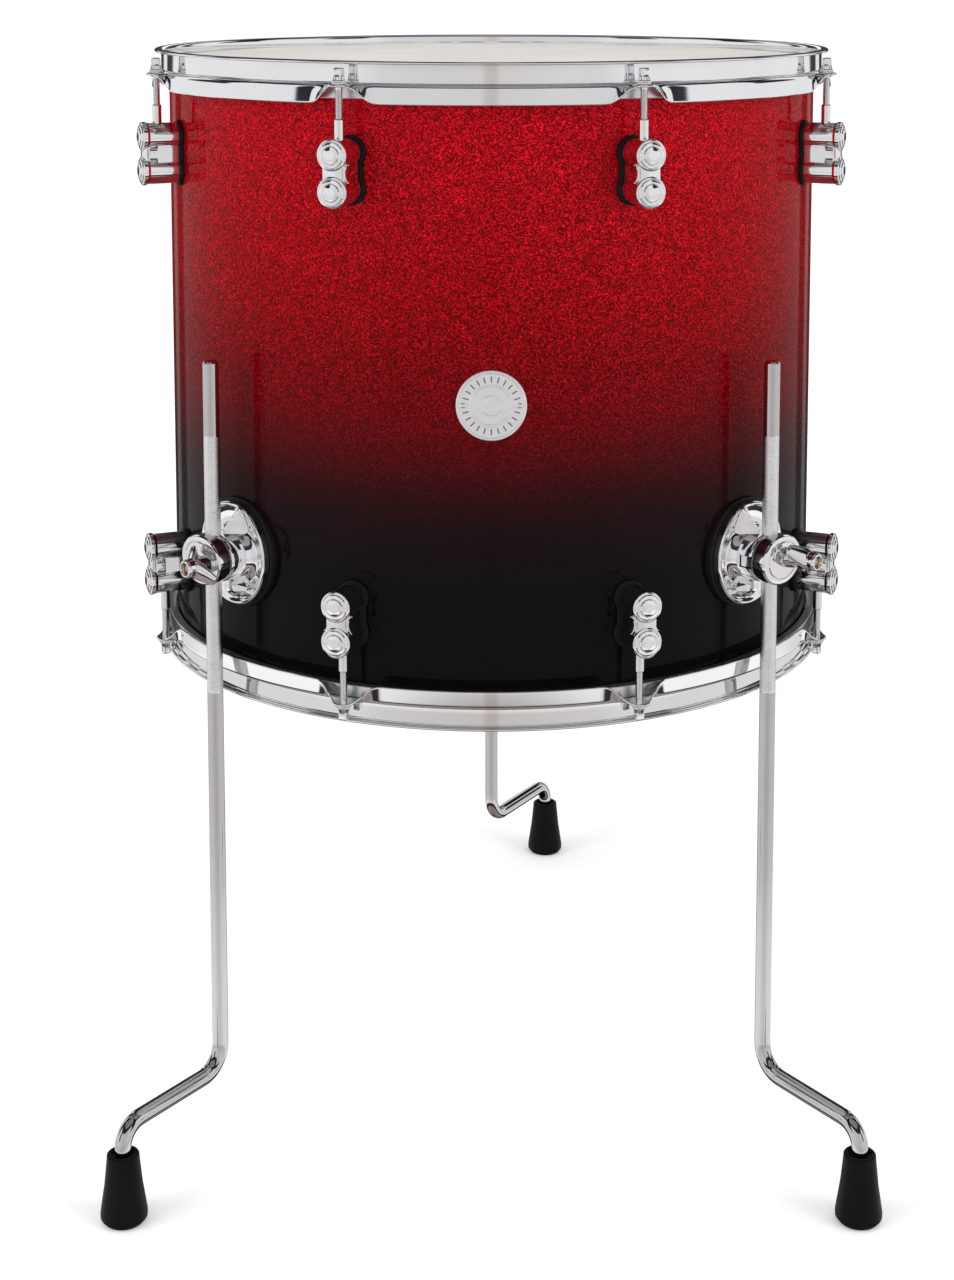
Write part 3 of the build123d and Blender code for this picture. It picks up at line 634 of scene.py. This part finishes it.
def cap_fan(build, ring):
    """Closes a planar ring with rings that shrink towards its middle line."""
    mid = ring.mean(0)
    k = np.array([1.0, 0.7, 0.35, 0.0])[None, :, None]
    line = ring.copy()
    line[:, 1] = mid[1]
    line[:, 2] = np.clip(ring[:, 2], mid[2] - 11.0, mid[2] + 11.0)
    build.grid(line[:, None, :] * (1 - k) + ring[:, None, :] * k, cu=True)


lug = Build()
body = peanut(9.2, 7.3)
layers = [(231.62, 0.35), (231.9, 0.05), (232.3, 0.0), (238.0, 0.0), (245.0, 0.0), (249.4, 0.0), (249.9, 0.12), (250.1, 0.5)]
P = stack(body, layers)
lug.grid(P, cu=True)
cap_fan(lug, P[:, -1])
cap_fan(lug, P[:, 0])
turret = rounded(
    [(0, 240), (9.2, 240), (9.2, 251.4, 0.3), (10.0, 253.1, 0.3), (10.0, 255.6, 0.55), (8.9, 256.0, 0.4), (8.3, 255.7, 0.25),
     (7.9, 256.7, 0.35), (6.1, 256.95, 0.3), (5.8, 256.6, 0.2), (5.3, 257.5, 0.4), (3.0, 257.85, 2.0), (0, 257.9)], 4
)
for zc in (11.5, -11.5):
    lug.grid(spin(turret, 72, (0, zc), "u"), cu=True)
# convex bridge between the two turrets
bt = np.linspace(-1, 1, 25)
front = np.stack([255.4 - 0.9 * np.abs(bt) ** 2.5, 6.6 * bt], -1)
loop = np.vstack([front, [(251.8, 6.6), (249.4, 5.8), (249.4, -5.8), (251.8, -6.6)]])
zs = np.linspace(-8.5, 8.5, 13)
P = np.stack([np.stack([loop[:, 0], loop[:, 1] * (1 + 0.035 * (z / 8.5) ** 2), np.full(len(loop), z)], -1) for z in zs], 1)
lug.grid(P, cu=True)
# set-back web with hollowed upper and lower edges and a pinched waist
zs = np.linspace(-5.8, 5.8, 31)
ws = 7.6 + 2.5 * (np.abs(zs) / 5.8) ** 2.4
outline = np.array([(w, z) for w, z in zip(ws, zs)] + [(-w, z) for w, z in zip(ws[::-1], zs[::-1])])
web = np.stack([np.concatenate([np.full((len(outline), 1), u), inset(outline, d)], 1)
                for u, d in ((246.5, 0.0), (251.2, 0.0), (251.7, 0.14), (251.9, 0.5))], 1)
lug.grid(web, cu=True)
for col in (web[:, -1], web[:, 0]):
    h = len(zs)
    lug.grid(np.stack([col[:h], (col[:h] + col[h:][::-1]) / 2, col[h:][::-1]], 1))

gasket = Build()
skin = peanut(10.7, 8.7)
outer = inset(skin, 0.0)
def shell_u(t, extra=0.04):
    return np.sqrt(R * R - t * t) + extra
rings = []
for u, d in ((None, 0.0), (230.6, 0.0), (231.1, 0.14), (231.45, 0.45), (231.58, 1.0)):
    o = inset(skin, d)
    rings.append(np.concatenate([(shell_u(o[:, :1]) if u is None else np.full((len(o), 1), u)), o], 1))
P = np.stack(rings, 1)
gasket.grid(P, cu=True)
cap_fan(gasket, P[:, -1])

nut = Build()
nut.grid(spin(rounded([(2.46, 675.2), (2.75, 675.0, 0.2), (3.1, 675.4, 0.2), (3.1, 704.4, 0.3), (2.8, 705.0, 0.2), (2.55, 704.9, 0.1), (2.46, 704.6)], 3),
              40, (ROD_CIRCLE, 0), "z"), cu=True, cv=True)
ring = Build()
ring.grid(spin(rounded([(2.5, 726.62, 0.1), (4.5, 726.62, 0.25), (4.7, 726.8, 0.2), (4.7, 727.4, 0.25), (4.4, 727.58, 0.2), (2.5, 727.58, 0.1)], 3, closed=True),
               40, (ROD_CIRCLE, 0), "z"), cu=True, cv=True)

for low, tag in ((False, "upper"), (True, "lower")):
    piece("lug_shells_" + tag, Build().many(lug, LUG_AZ, Z_LUG, low), [M_CAST], "drum", ["lug_casings_" + tag], angle=28)
    piece("lug_cushions_" + tag, Build().many(gasket, LUG_AZ, Z_LUG, low), [M_GASKET], "drum", ["lug_gaskets_" + tag])
    piece("swivel_sleeves_" + tag, Build().many(nut, LUG_AZ, 0, low), [M_STEEL], "drum", ["swivel_nuts_" + tag])
    piece("rod_rings_" + tag, Build().many(ring, LUG_AZ, 0, low), [M_STEEL], "drum", ["rod_washers_" + tag])

# ------------------------------------------------------------- tension rods
rod = Build()
zt = np.arange(699.0, 723.6, 0.1)
th = np.arange(32) / 32 * TAU
phase = (zt[None, :] / 0.8 - th[:, None] / TAU) % 1.0
tri = np.abs(phase * 2 - 1)
fade = smoothstep((723.4 - zt) / 1.0)[None, :]
rr = 2.4 - 0.42 * smoothstep((tri - 0.18) / 0.7) * fade
rod.grid(np.stack([ROD_CIRCLE + rr * np.cos(th)[:, None], rr * np.sin(th)[:, None], np.broadcast_to(zt, rr.shape)], -1), cu=True)
low_end = rounded([(0, 676.0), (1.8, 676.0, 0.2), (2.38, 676.7, 0.2), (2.38, 699.0)], 3)
rod.grid(spin(low_end, 32, (ROD_CIRCLE, 0), "z"), cu=True)
upper = rounded([(2.4, 723.5), (2.4, 727.58), (4.3, 727.6, 0.1), (4.55, 727.9, 0.25), (4.55, 728.5, 0.3), (4.2, 728.75, 0.2),
                 (3.95, 729.0, 0.4), (3.45, 731.2, 0.6), (2.9, 732.3, 0.5), (2.4, 732.5)], 4)
rod.grid(spin(upper, 40, (ROD_CIRCLE, 0), "z"), cu=True)
# square key head with rounded corners and a domed end
sq = rounded([(2.7, 2.7, 0.75), (-2.7, 2.7, 0.75), (-2.7, -2.7, 0.75), (2.7, -2.7, 0.75)], 4, closed=True)
rings = []
for z, k in ((730.4, 0.98), (730.9, 1.0), (735.6, 1.0), (736.1, 0.965), (736.4, 0.88), (736.55, 0.7), (736.6, 0.35), (736.6, 0.0)):
    rings.append(np.stack([ROD_CIRCLE + sq[:, 0] * k, sq[:, 1] * k, np.full(len(sq), z)], -1))
rod.grid(np.stack(rings, 1), cu=True)
for i, az in enumerate(LUG_AZ):
    for low, tag in ((False, "upper"), (True, "lower")):
        piece("key_rod_%s_%d" % (tag, i + 1), Build().many(rod, [az], 0, low), [M_STEEL], "rod_%s_%d" % (tag, i + 1),
              ["tension_rod_%s_%d" % (tag, i + 1)], angle=38)

# --------------------------------------------------------------------- badge
BZ, BR = 526.5, 22.25
b = Build()
n = 144
ph = np.arange(n) / n * TAU
# (radius, height over the shell): border bead, floor, inner ring, centre disc
prof = rounded([(BR, 0.02), (BR, 0.85, 0.3), (BR - 0.5, 1.15, 0.3), (BR - 1.5, 1.15, 0.3), (BR - 1.9, 0.75, 0.2),
                (13.4, 0.75, 0.1), (13.1, 1.0, 0.12), (12.2, 1.0, 0.12), (11.9, 0.75, 0.1), (6.6, 0.75, 0.1),
                (6.2, 1.05, 0.2), (0.0, 1.15)], 3)
def dished(rad, h):
    t = rad[None, :] * np.cos(ph)[:, None]
    z = rad[None, :] * np.sin(ph)[:, None]
    return np.stack([np.sqrt(R * R - t * t) + h, t, np.broadcast_to(z, t.shape)], -1)
dense = [prof[0]]
for p, q in zip(prof[:-1], prof[1:]):
    k = max(1, int(np.linalg.norm(q - p) / 1.2))
    dense += [p + (q - p) * (j + 1) / k for j in range(k)]
dense = np.array(dense)
b.grid(dished(dense[:, 0], dense[:, 1][None, :]), cu=True)
# raised strokes between the inner ring and the border
for j in range(24):
    if j % 12 == 0:
        continue
    a = j * TAU / 24
    rad = np.linspace(14.6, 18.6, 7)
    wid = np.array([-0.42, -0.34, 0.34, 0.42])
    hh = np.array([0.72, 1.0, 1.0, 0.72])
    t = rad[:, None] * math.cos(a) - wid[None, :] * math.sin(a)
    z = rad[:, None] * math.sin(a) + wid[None, :] * math.cos(a)
    lift = np.broadcast_to(hh[None, :], t.shape).copy()
    lift[0], lift[-1] = 0.72, 0.72
    b.grid(np.stack([np.sqrt(R * R - t * t) + lift, t, z], -1), mat=1)
piece("badge_plate", Build().many(b, [0.0], BZ), [M_BADGE, M_INK], "drum", ["badge"], angle=30)
pins = Build()
for t in (17.8, -17.8):
    head_u = math.sqrt(R * R - t * t)
    pins.grid(spin(rounded([(0, head_u + 0.3), (1.6, head_u + 0.3, 0.1), (1.75, head_u + 1.05, 0.25), (1.1, head_u + 1.65, 0.6), (0, head_u + 1.8)], 4), 32, (t, 0), "u"), cu=True)
piece("badge_nails", Build().many(pins, [0.0], BZ), [M_STEEL], "drum", ["badge_pins"])

# -------------------------------------------------------------- leg brackets
def dish_u(rho):
    return np.interp(rho, [0.0, 20.0, 24.0, 28.0, 31.0, 32.3, 33.2, 34.0],
                     [232.6, 232.6, 232.9, 233.9, 235.2, 236.1, 236.1, 235.6])


def root_u(gap):
    """Fillet at the foot of the oval neck, by distance from the oval."""
    return np.interp(gap, [0.0, 0.5, 1.2, 2.4, 4.2], [240.0, 237.4, 235.4, 233.8, 232.6])


NA, NB = 20.8, 16.3


nphi, nrho = 288, 60
phi = np.arange(nphi) / nphi * TAU
rho = np.concatenate([np.linspace(13.0, 31.0, nrho - 10), np.linspace(31.2, 33.9, 10)])
t = rho[None, :] * np.sin(phi)[:, None]
z = rho[None, :] * np.cos(phi)[:, None]
u = np.broadcast_to(dish_u(rho), t.shape).copy()
u = np.maximum(u, root_u((np.hypot(t / NA, z / NB) - 1) * 17.5))
kern = np.exp(-0.5 * (np.arange(-3, 4) / 1.1) ** 2)
kern /= kern.sum()
u[:, 3:-9] = np.apply_along_axis(lambda c: np.convolve(c, kern, "valid"), 1, u)[:, : u.shape[1] - 12]
flat_u = u


def bracket_for(lean):
    """Dish with a sharp ridge from the neck to the rim and a boss below the neck."""
    u = flat_u.copy()
    crest = np.interp(rho, [13.0, 17.5, 24.0, 32.0, 34.0], [244.9, 244.6, 241.6, 236.9, 235.6])
    mid = lean * np.interp(rho, [13.0, 34.0], [1.0, 9.5])
    wide = np.interp(rho, [13.0, 17.5, 24.0, 32.0, 34.0], [15.0, 13.0, 8.6, 3.0, 1.4])
    slope = np.abs(t - mid[None, :]) / wide[None, :]
    ridge = np.where(z > 0, crest[None, :] - (crest - dish_u(rho) + 0.6)[None, :] * slope, 0)
    u = np.maximum(u, ridge)
    drop = np.hypot((t - lean * 1.5) / np.interp(z, [-31.5, -24.0, -14.0], [8.0, 11.6, 6.5]), (z + 21.5) / 9.8)
    boss = 232.8 + 7.6 * (1 - np.clip(drop, 0, 1) ** 2.6)
    u = np.maximum(u, np.where(drop < 1, boss, 0))
    b = Build().grid(np.stack([u, t, z], -1), cu=True)
    rim = rounded([(33.9, float(dish_u(33.9))), (34.25, 235.2, 0.4), (34.25, 231.3, 0.3), (33.9, 231.05, 0.2), (12.0, 231.05)], 4)
    return b.grid(np.stack([np.broadcast_to(rim[:, 1], (nphi, len(rim))), rim[:, 0][None, :] * np.sin(phi)[:, None],
                            rim[:, 0][None, :] * np.cos(phi)[:, None]], -1), cu=True)



def oval(build, profile, n=144):
    """Spins a (half height, u) profile and widens it into the clamp's oval."""
    P = spin(profile, n, (0, 0), "u")
    P[..., 1] *= NA / NB
    return build.grid(P, cu=True)


neck = oval(Build(), rounded([(0, 232.0), (NB - 1.0, 232.0), (NB - 1.0, 238.0), (NB - 0.1, 239.6, 0.5), (NB, 248.9, 0.3), (NB - 0.3, 249.7, 0.4),
                              (NB - 0.9, 250.4, 0.4), (0, 250.4)], 4))
leg_cut = Build().grid(spin(np.array([(0, -60), (5.31, -60), (5.31, 60), (0, 60)], float), 48, (LEG_CIRCLE, 0), "z"), cu=True)
stud_cut = Build().grid(spin(np.array([(0, 240), (3.06, 240), (3.06, 300), (0, 300)], float), 40, (STUD_T, 0), "u"), cu=True)
neck = solidify_steps(neck, cutters=[leg_cut, stud_cut, block(241.4, 262.0, -25.0, -8.4, -4.0, 4.0)])

jaw = oval(Build(), rounded([(0, 251.0), (NB - 0.9, 251.0, 0.3), (NB, 251.8, 0.5), (NB, 260.3, 0.6), (NB - 0.9, 261.4, 0.8), (12.6, 261.75, 0.5),
                             (12.1, 261.2, 0.25), (11.6, 262.1, 0.35), (7.0, 262.35, 2.0), (0, 262.4)], 4))
button = Build().grid(spin(rounded([(0, 258), (3.6, 258), (3.6, 262.5, 0.1), (3.2, 263.0, 0.3), (1.4, 263.05, 1.0), (0, 263.1)], 4), 56, (0, 0), "u"), cu=True)
seat = Build().grid(spin(rounded([(0, 256), (5.6, 256), (5.6, 262.6, 0.3), (0, 262.6)], 3), 48, (STUD_T, 0), "u"), cu=True)
tongue = block(242.0, 256.0, -19.0, -9.6, -3.5, 3.5)
jaw = solidify_steps(jaw, union=[button, seat, tongue], cutters=[leg_cut, stud_cut])

stud = Build()
stud.grid(spin(rounded([(0, 240.5), (2.6, 240.5, 0.2), (3.0, 241.0, 0.2), (3.0, 278.9, 0.2), (2.5, 279.5, 0.3), (1.6, 279.6, 0.3), (1.3, 279.2, 0.2), (0, 279.2)], 3),
               40, (0, 0), "u"), cu=True)

pad = Build()
ps = 120
pp = np.arange(ps) / ps * TAU
rings = []
for rad, uu in ((36.5, None), (36.5, 229.9), (36.2, 230.6), (35.6, 230.95), (34.4, 231.0), (20.0, 231.0)):
    tt, zz = rad * np.sin(pp), rad * np.cos(pp)
    uu = shell_u(tt) if uu is None else np.full(ps, uu)
    rings.append(np.stack([uu, tt, zz], -1))
pad.grid(np.stack(rings, 1), cu=True)


def blob(u, t, z, ru, rt, rz):
    """Small ellipsoid used as raw stock for the wing nut before it is blended."""
    la, lo = np.linspace(0, math.pi, 13), np.arange(24) / 24 * TAU
    g = np.stack([u + ru * np.cos(la)[None, :] + 0 * lo[:, None], t + rt * np.sin(la)[None, :] * np.cos(lo)[:, None],
                  z + rz * np.sin(la)[None, :] * np.sin(lo)[:, None]], -1)
    return g


wing = Build()
wing.grid(spin(rounded([(0, 262.7), (5.7, 262.7, 0.4), (6.0, 264.5, 0.5), (6.2, 272.0, 3.0), (6.1, 280.4, 0.9), (5.2, 281.5, 0.6), (0, 281.5)], 4), 72, (0, 0), "u"), cu=True)
for sgn in (1, -1):
    for k in np.linspace(0, 1, 12):
        uu = 274.2 - 7.4 * k ** 1.1
        tc = sgn * (1.5 + 11.6 * k)
        wing.grid(blob(uu, tc, 0, 3.9 - 1.6 * k, 4.4 - 1.9 * k, 6.9 - 2.9 * k ** 1.8), cu=True)
bore = Build().grid(spin(np.array([(0, 255), (3.06, 255), (3.06, 300), (0, 300)], float), 40, (0, 0), "u"), cu=True)
recess = Build().grid(spin(rounded([(0, 276.0), (4.2, 276.0), (4.2, 281.2), (4.9, 282.4), (4.9, 300), (0, 300)], 2), 48, (0, 0), "u"), cu=True)
flat = block(240.0, 262.68, -40, 40, -40, 40)
wing = solidify_steps(wing, remesh=0.34, smooth=9, cutters=[flat, recess, bore])


def turned(build, tilt, t0=STUD_T):
    """Turns a local build about the stud's line, then shifts it on to it."""
    v = np.vstack(build.v)
    a = math.radians(tilt)
    tt, zz = v[:, 1] * math.cos(a) + v[:, 2] * math.sin(a), -v[:, 1] * math.sin(a) + v[:, 2] * math.cos(a)
    return Build().faces(np.stack([v[:, 0], tt + t0, zz], -1), build.f)


cushions = Build()
for side, az in SIDES.items():
    cushions.many(pad, [az], BRACKET_Z)
    both = Build().many(bracket_for(-1 if side == "right" else 1), [az], BRACKET_Z).many(neck, [az], BRACKET_Z)
    piece("bracket_" + side, both, [M_CAST], "drum", ["leg_bracket_" + side], angle=26)
    piece("jaw_" + side, Build().many(jaw, [az], BRACKET_Z), [M_CAST], "drum", ["clamp_jaw_" + side], angle=30)
    piece("stud_" + side, Build().many(turned(stud, 0), [az], BRACKET_Z), [M_STUD], "drum", ["clamp_stud_" + side])
    piece("wing_" + side, Build().many(turned(wing, NUT_TILT[side]), [az], BRACKET_Z), [M_CAST], "wing_nut_body_" + side,
          ["wing_nut_" + side], angle=42)
piece("bracket_cushions", cushions, [M_GASKET], "drum", ["bracket_gaskets"])

# ------------------------------------------------------------- legs and feet
LR, UP, DOWN, REACH, ARM = 5.25, 18.0, 15.0, 92.6, 62.5
foot = rounded(
    [(0, 0.0), (12.4, 0.0, 1.0), (15.0, 3.2, 1.4), (15.0, 6.6, 3.5), (12.2, 25.0, 30.0), (10.5, 41.5, 4.0), (10.3, 44.6, 1.0), (9.3, 45.5, 0.7),
     (7.7, 45.4, 0.5), (7.3, 43.6, 0.3), (5.32, 43.4, 0.2), (5.32, 11.95), (0, 11.95)], 5
)


def leg_mesh(side, az, way):
    a, w = math.radians(az), math.radians(way)
    base = np.array([LEG_CIRCLE * math.sin(a), YC - LEG_CIRCLE * math.cos(a), 0.0])
    out = np.array([math.sin(w), -math.cos(w), 0.0])
    side_dir = np.array([math.cos(w), math.sin(w), 0.0])
    # (distance along the arm, z, tangent angle from straight down)
    path = [(0.0, z, 0.0) for z in np.linspace(323.6, ARM + UP, 30)]
    for k in np.linspace(0, math.pi / 2, 17)[1:]:
        path.append((UP - UP * math.cos(k), ARM + UP - UP * math.sin(k), k))
    for s in np.linspace(UP, REACH - DOWN, 12)[1:]:
        path.append((s, ARM, math.pi / 2))
    for k in np.linspace(0, math.pi / 2, 15)[1:]:
        path.append((REACH - DOWN + DOWN * math.sin(k), ARM - DOWN + DOWN * math.cos(k), math.pi / 2 - k))
    for z in np.linspace(ARM - DOWN, 12.05, 8)[1:]:
        path.append((REACH, z, 0.0))
    path = np.array(path)
    n = 56
    th = np.arange(n) / n * TAU
    rings = []
    for s, z, k in path:
        c = base + out * s + np.array([0, 0, z])
        nrm = out * math.cos(k) + np.array([0, 0, 1.0]) * math.sin(k)
        rings.append(c + LR * (np.cos(th)[:, None] * side_dir + np.sin(th)[:, None] * nrm))
    b = Build()
    P = np.stack(rings, 1)
    b.grid(P, cu=True)
    end = P[:, -1]
    b.grid(np.stack([end, end * 0.5 + end.mean(0) * 0.5, np.broadcast_to(end.mean(0), end.shape)], 1), cu=True)
    top = rounded([(LR, 495.6), (LR, 495.9), (LR, 520.0), (LR, 542.4), (LR, 542.9, 0.3), (LR - 1.0, 544.0, 0.4), (3.0, 544.0), (0, 544.0)], 4)
    fillet = np.array([(LR - 0.05, 495.2), (LR, 495.6)])
    b.grid(spin(np.vstack([fillet[:1], top]), n, (0, 0), "z") + base, cu=True)
    # cut diamonds over the clamping length
    count, pitch = 22, 1.62
    m = count * 5
    zk = np.arange(323.6, 495.61, pitch / 5)
    tk = np.arange(m) / m * TAU
    fa = count * tk[:, None] / TAU
    fb = zk[None, :] / pitch
    t1 = np.abs(((fa + fb) % 1.0) * 2 - 1)
    t2 = np.abs(((fa - fb) % 1.0) * 2 - 1)
    groove = np.maximum(smoothstep((t1 - 0.45) / 0.55), smoothstep((t2 - 0.45) / 0.55))
    fadek = smoothstep((zk - 323.8) / 1.2) * smoothstep((495.4 - zk) / 1.2)
    rk = LR + 0.02 - 0.30 * groove * fadek[None, :]
    G = np.stack([rk * np.cos(tk)[:, None], rk * np.sin(tk)[:, None], np.broadcast_to(zk, rk.shape)], -1) + base
    b.grid(G, cu=True, mat=1)
    piece("leg_rod_" + side, b, [M_ROD, M_KNURL], "leg_body_" + side, ["leg_" + side], angle=50)
    at = base + out * REACH
    f = Build().grid(spin(foot, 96, (0, 0), "z") + at, cu=True)
    piece("foot_boot_" + side, f, [M_FOOT], "leg_body_" + side, ["foot_" + side], angle=40)


for side, az in SIDES.items():
    leg_mesh(side, az, LEG_WAY[side])

# CAD pieces hidden inside the drum keep their own mesh and take a plated finish
for name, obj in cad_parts.items():
    if not obj.hide_render:
        obj.data.materials.clear()
        obj.data.materials.append(M_ZINC)
        for p in obj.data.polygons:
            p.material_index = 0

# --------------------------------------------------------------------- stage
scene = bpy.context.scene
floor_build = Build()
g = np.array([-300000.0, 300000.0])
floor_build.grid(np.stack(np.broadcast_arrays(g[:, None], g[None, :], np.zeros((2, 2))), -1))
floor = bpy.data.objects.new("stage_floor", floor_build.mesh("stage_floor"))
scene.collection.objects.link(floor)
# painted light: the floor glows by emission, 0.11 within 0.42 m of the origin rising to 0.30 beyond 1.6 m, so it
# reads white far off and holds painted shade around the drum
k = Mat("stage_floor_painted_glow")
away = k.vmath("LENGTH", k.vmath("MULTIPLY", k.coords(), (1, 1, 0)))
k.set(Base_Color=k.mix(k.noise(k.coords(), 0.8), (0.81, 0.81, 0.81), (0.82, 0.82, 0.82)), Roughness=0.9, Specular_IOR_Level=0.0,
      Emission_Color=(1, 1, 1, 1), Emission_Strength=k.span(away, 0.42, 1.6, 0.11, 0.30))
floor.data.materials.append(k.mat)
floor.visible_glossy = False

world = bpy.data.worlds.new("studio")
scene.world = world
world.use_nodes = True
nt = world.node_tree
nt.nodes.clear()
W = Mat.__new__(Mat)
W.nt = nt
out = W.new("OutputWorld")
d = W.new("TexCoord").outputs["Generated"]
x, y, z = W.xyz(d)
az = W.math("ARCTAN2", x, W.math("MULTIPLY", y, -1.0))
az = W.math("MULTIPLY", az, 1 / math.pi)
side = W.math("ABSOLUTE", az)
deg = lambda v: v / 180.0
panels = [
    (deg(0), (0.58, 0.54, 0.52)), (deg(1.4), (0.61, 0.57, 0.55)), (deg(3.0), (0.70, 0.68, 0.67)), (deg(36), (0.74, 0.74, 0.75)),
    (deg(46), (0.84, 0.84, 0.85)), (deg(128), (0.88, 0.88, 0.89)), (deg(140), (0.86, 0.86, 0.87)), (deg(142.5), (0.05, 0.05, 0.05)),
    (deg(149), (0.05, 0.05, 0.05)), (deg(151), (0.85, 0.84, 0.83)), (deg(156), (0.85, 0.84, 0.83)), (deg(158), (0.05, 0.04, 0.04)),
    (deg(174), (0.06, 0.05, 0.05)), (deg(176), (1.0, 1.0, 1.0)), (deg(180), (1.0, 1.0, 1.0)),
]
ring_c = W.ramp(side, panels)
# overhead and underfoot are dimmer, with a dark line where the panels stop
tall = W.ramp(W.span(z, -1.0, 1.0, 0.0, 1.0), [
    (0.0, (0.34, 0.29, 0.26)), (0.13, (0.46, 0.41, 0.38)), (0.15, (0.04, 0.04, 0.04)), (0.215, (0.04, 0.04, 0.04)), (0.23, (1.22, 1.20, 1.19)),
    (0.283, (1.22, 1.20, 1.19)), (0.306, (0.90, 0.87, 0.86)), (0.40, (0.90, 0.87, 0.86)), (0.45, (1.0, 1.0, 1.0)), (0.72, (1.0, 1.0, 1.0)), (0.765, (0.95, 0.95, 0.95)), (0.78, (0.04, 0.04, 0.05)), (0.88, (0.05, 0.05, 0.06)),
    (0.895, (0.45, 0.45, 0.46)), (1.0, (0.40, 0.40, 0.41)),
])
# black flags stand above eye level only, so upright walls never mirror them
flags = W.ramp(side, [
    (0.0, (1, 1, 1)), (deg(49), (1, 1, 1)), (deg(50), (0.03, 0.03, 0.035)), (deg(66), (0.03, 0.03, 0.035)), (deg(67), (1, 1, 1)),
    (deg(97), (1, 1, 1)), (deg(98), (0.03, 0.03, 0.035)), (deg(121), (0.03, 0.03, 0.035)), (deg(122), (1, 1, 1)), (1.0, (1, 1, 1)),
])
flags = W.mix(W.span(z, 0.10, 0.12, 0.0, 1.0), (1.0, 1.0, 1.0), flags)
glossy = W.new("Background")
W.put(glossy.inputs[0], W.mix(1.0, W.mix(1.0, ring_c, tall, "MULTIPLY"), flags, "MULTIPLY"))
glossy.inputs[1].default_value = 1.0
plain = W.new("Background")
plain.inputs[0].default_value = (1, 1, 1, 1)
plain.inputs[1].default_value = 1.0
swap = W.new("MixShader")
W.put(swap.inputs[0], W.new("LightPath").outputs["Is Glossy Ray"])
nt.links.new(plain.outputs[0], swap.inputs[1])
nt.links.new(glossy.outputs[0], swap.inputs[2])
nt.links.new(swap.outputs[0], out.inputs[0])

for tag, sx, power in (("key_left", -1, 26.0), ("key_right", 1, 26.0)):
    lamp = bpy.data.lights.new(tag, "AREA")
    lamp.shape, lamp.size, lamp.size_y, lamp.energy = "RECTANGLE", 1.4, 1.8, power
    o = bpy.data.objects.new(tag, lamp)
    scene.collection.objects.link(o)
    o.location = (sx * 1.9, -1.2, 1.2)
    aim = np.array([0, YC * MM, 0.5]) - np.array(o.location)
    o.rotation_euler = (math.acos(-aim[2] / np.linalg.norm(aim)), 0, math.atan2(aim[1], aim[0]) - math.pi / 2)
    o.visible_glossy = False

cam_data = bpy.data.cameras.new("view")
cam = bpy.data.objects.new("view", cam_data)
scene.collection.objects.link(cam)
WIDE, HIGH = 954, 1280
focal_px = 2142.46 * 1.010
cam_data.sensor_fit = "AUTO"
cam_data.sensor_width = 36.0
cam_data.lens = focal_px / HIGH * 36.0
cam_data.shift_x = -(491.4 - WIDE / 2) / HIGH
cam_data.shift_y = (204.4 - HIGH / 2) / HIGH
cam_data.clip_start, cam_data.clip_end = 0.05, 400.0
cam.location = (0.0, (YC - 1552.36) * MM, 803.83 * MM)
cam.rotation_euler = (math.pi / 2 - 0.1138, 0, 0)
scene.camera = cam
# the lens shift belongs to this standpoint only; from anywhere else the lens is centred
for prop, value in (("shift_x", cam_data.shift_x), ("shift_y", cam_data.shift_y)):
    drv = cam_data.driver_add(prop).driver
    drv.type = "SCRIPTED"
    where = drv.variables.new()
    where.name, where.type = "y", "TRANSFORMS"
    where.targets[0].id = cam
    where.targets[0].transform_type = "LOC_Y"
    spot = cam.location.y
    drv.expression = "%.6f if y > %.5f and y < %.5f else 0.0" % (value, spot - 0.0001, spot + 0.0001)

scene.view_settings.view_transform = "Standard"
scene.view_settings.look = "None"
scene.render.film_transparent = False
scene.cycles.max_bounces = 10
scene.cycles.glossy_bounces = 6
scene.cycles.transparent_max_bounces = 12
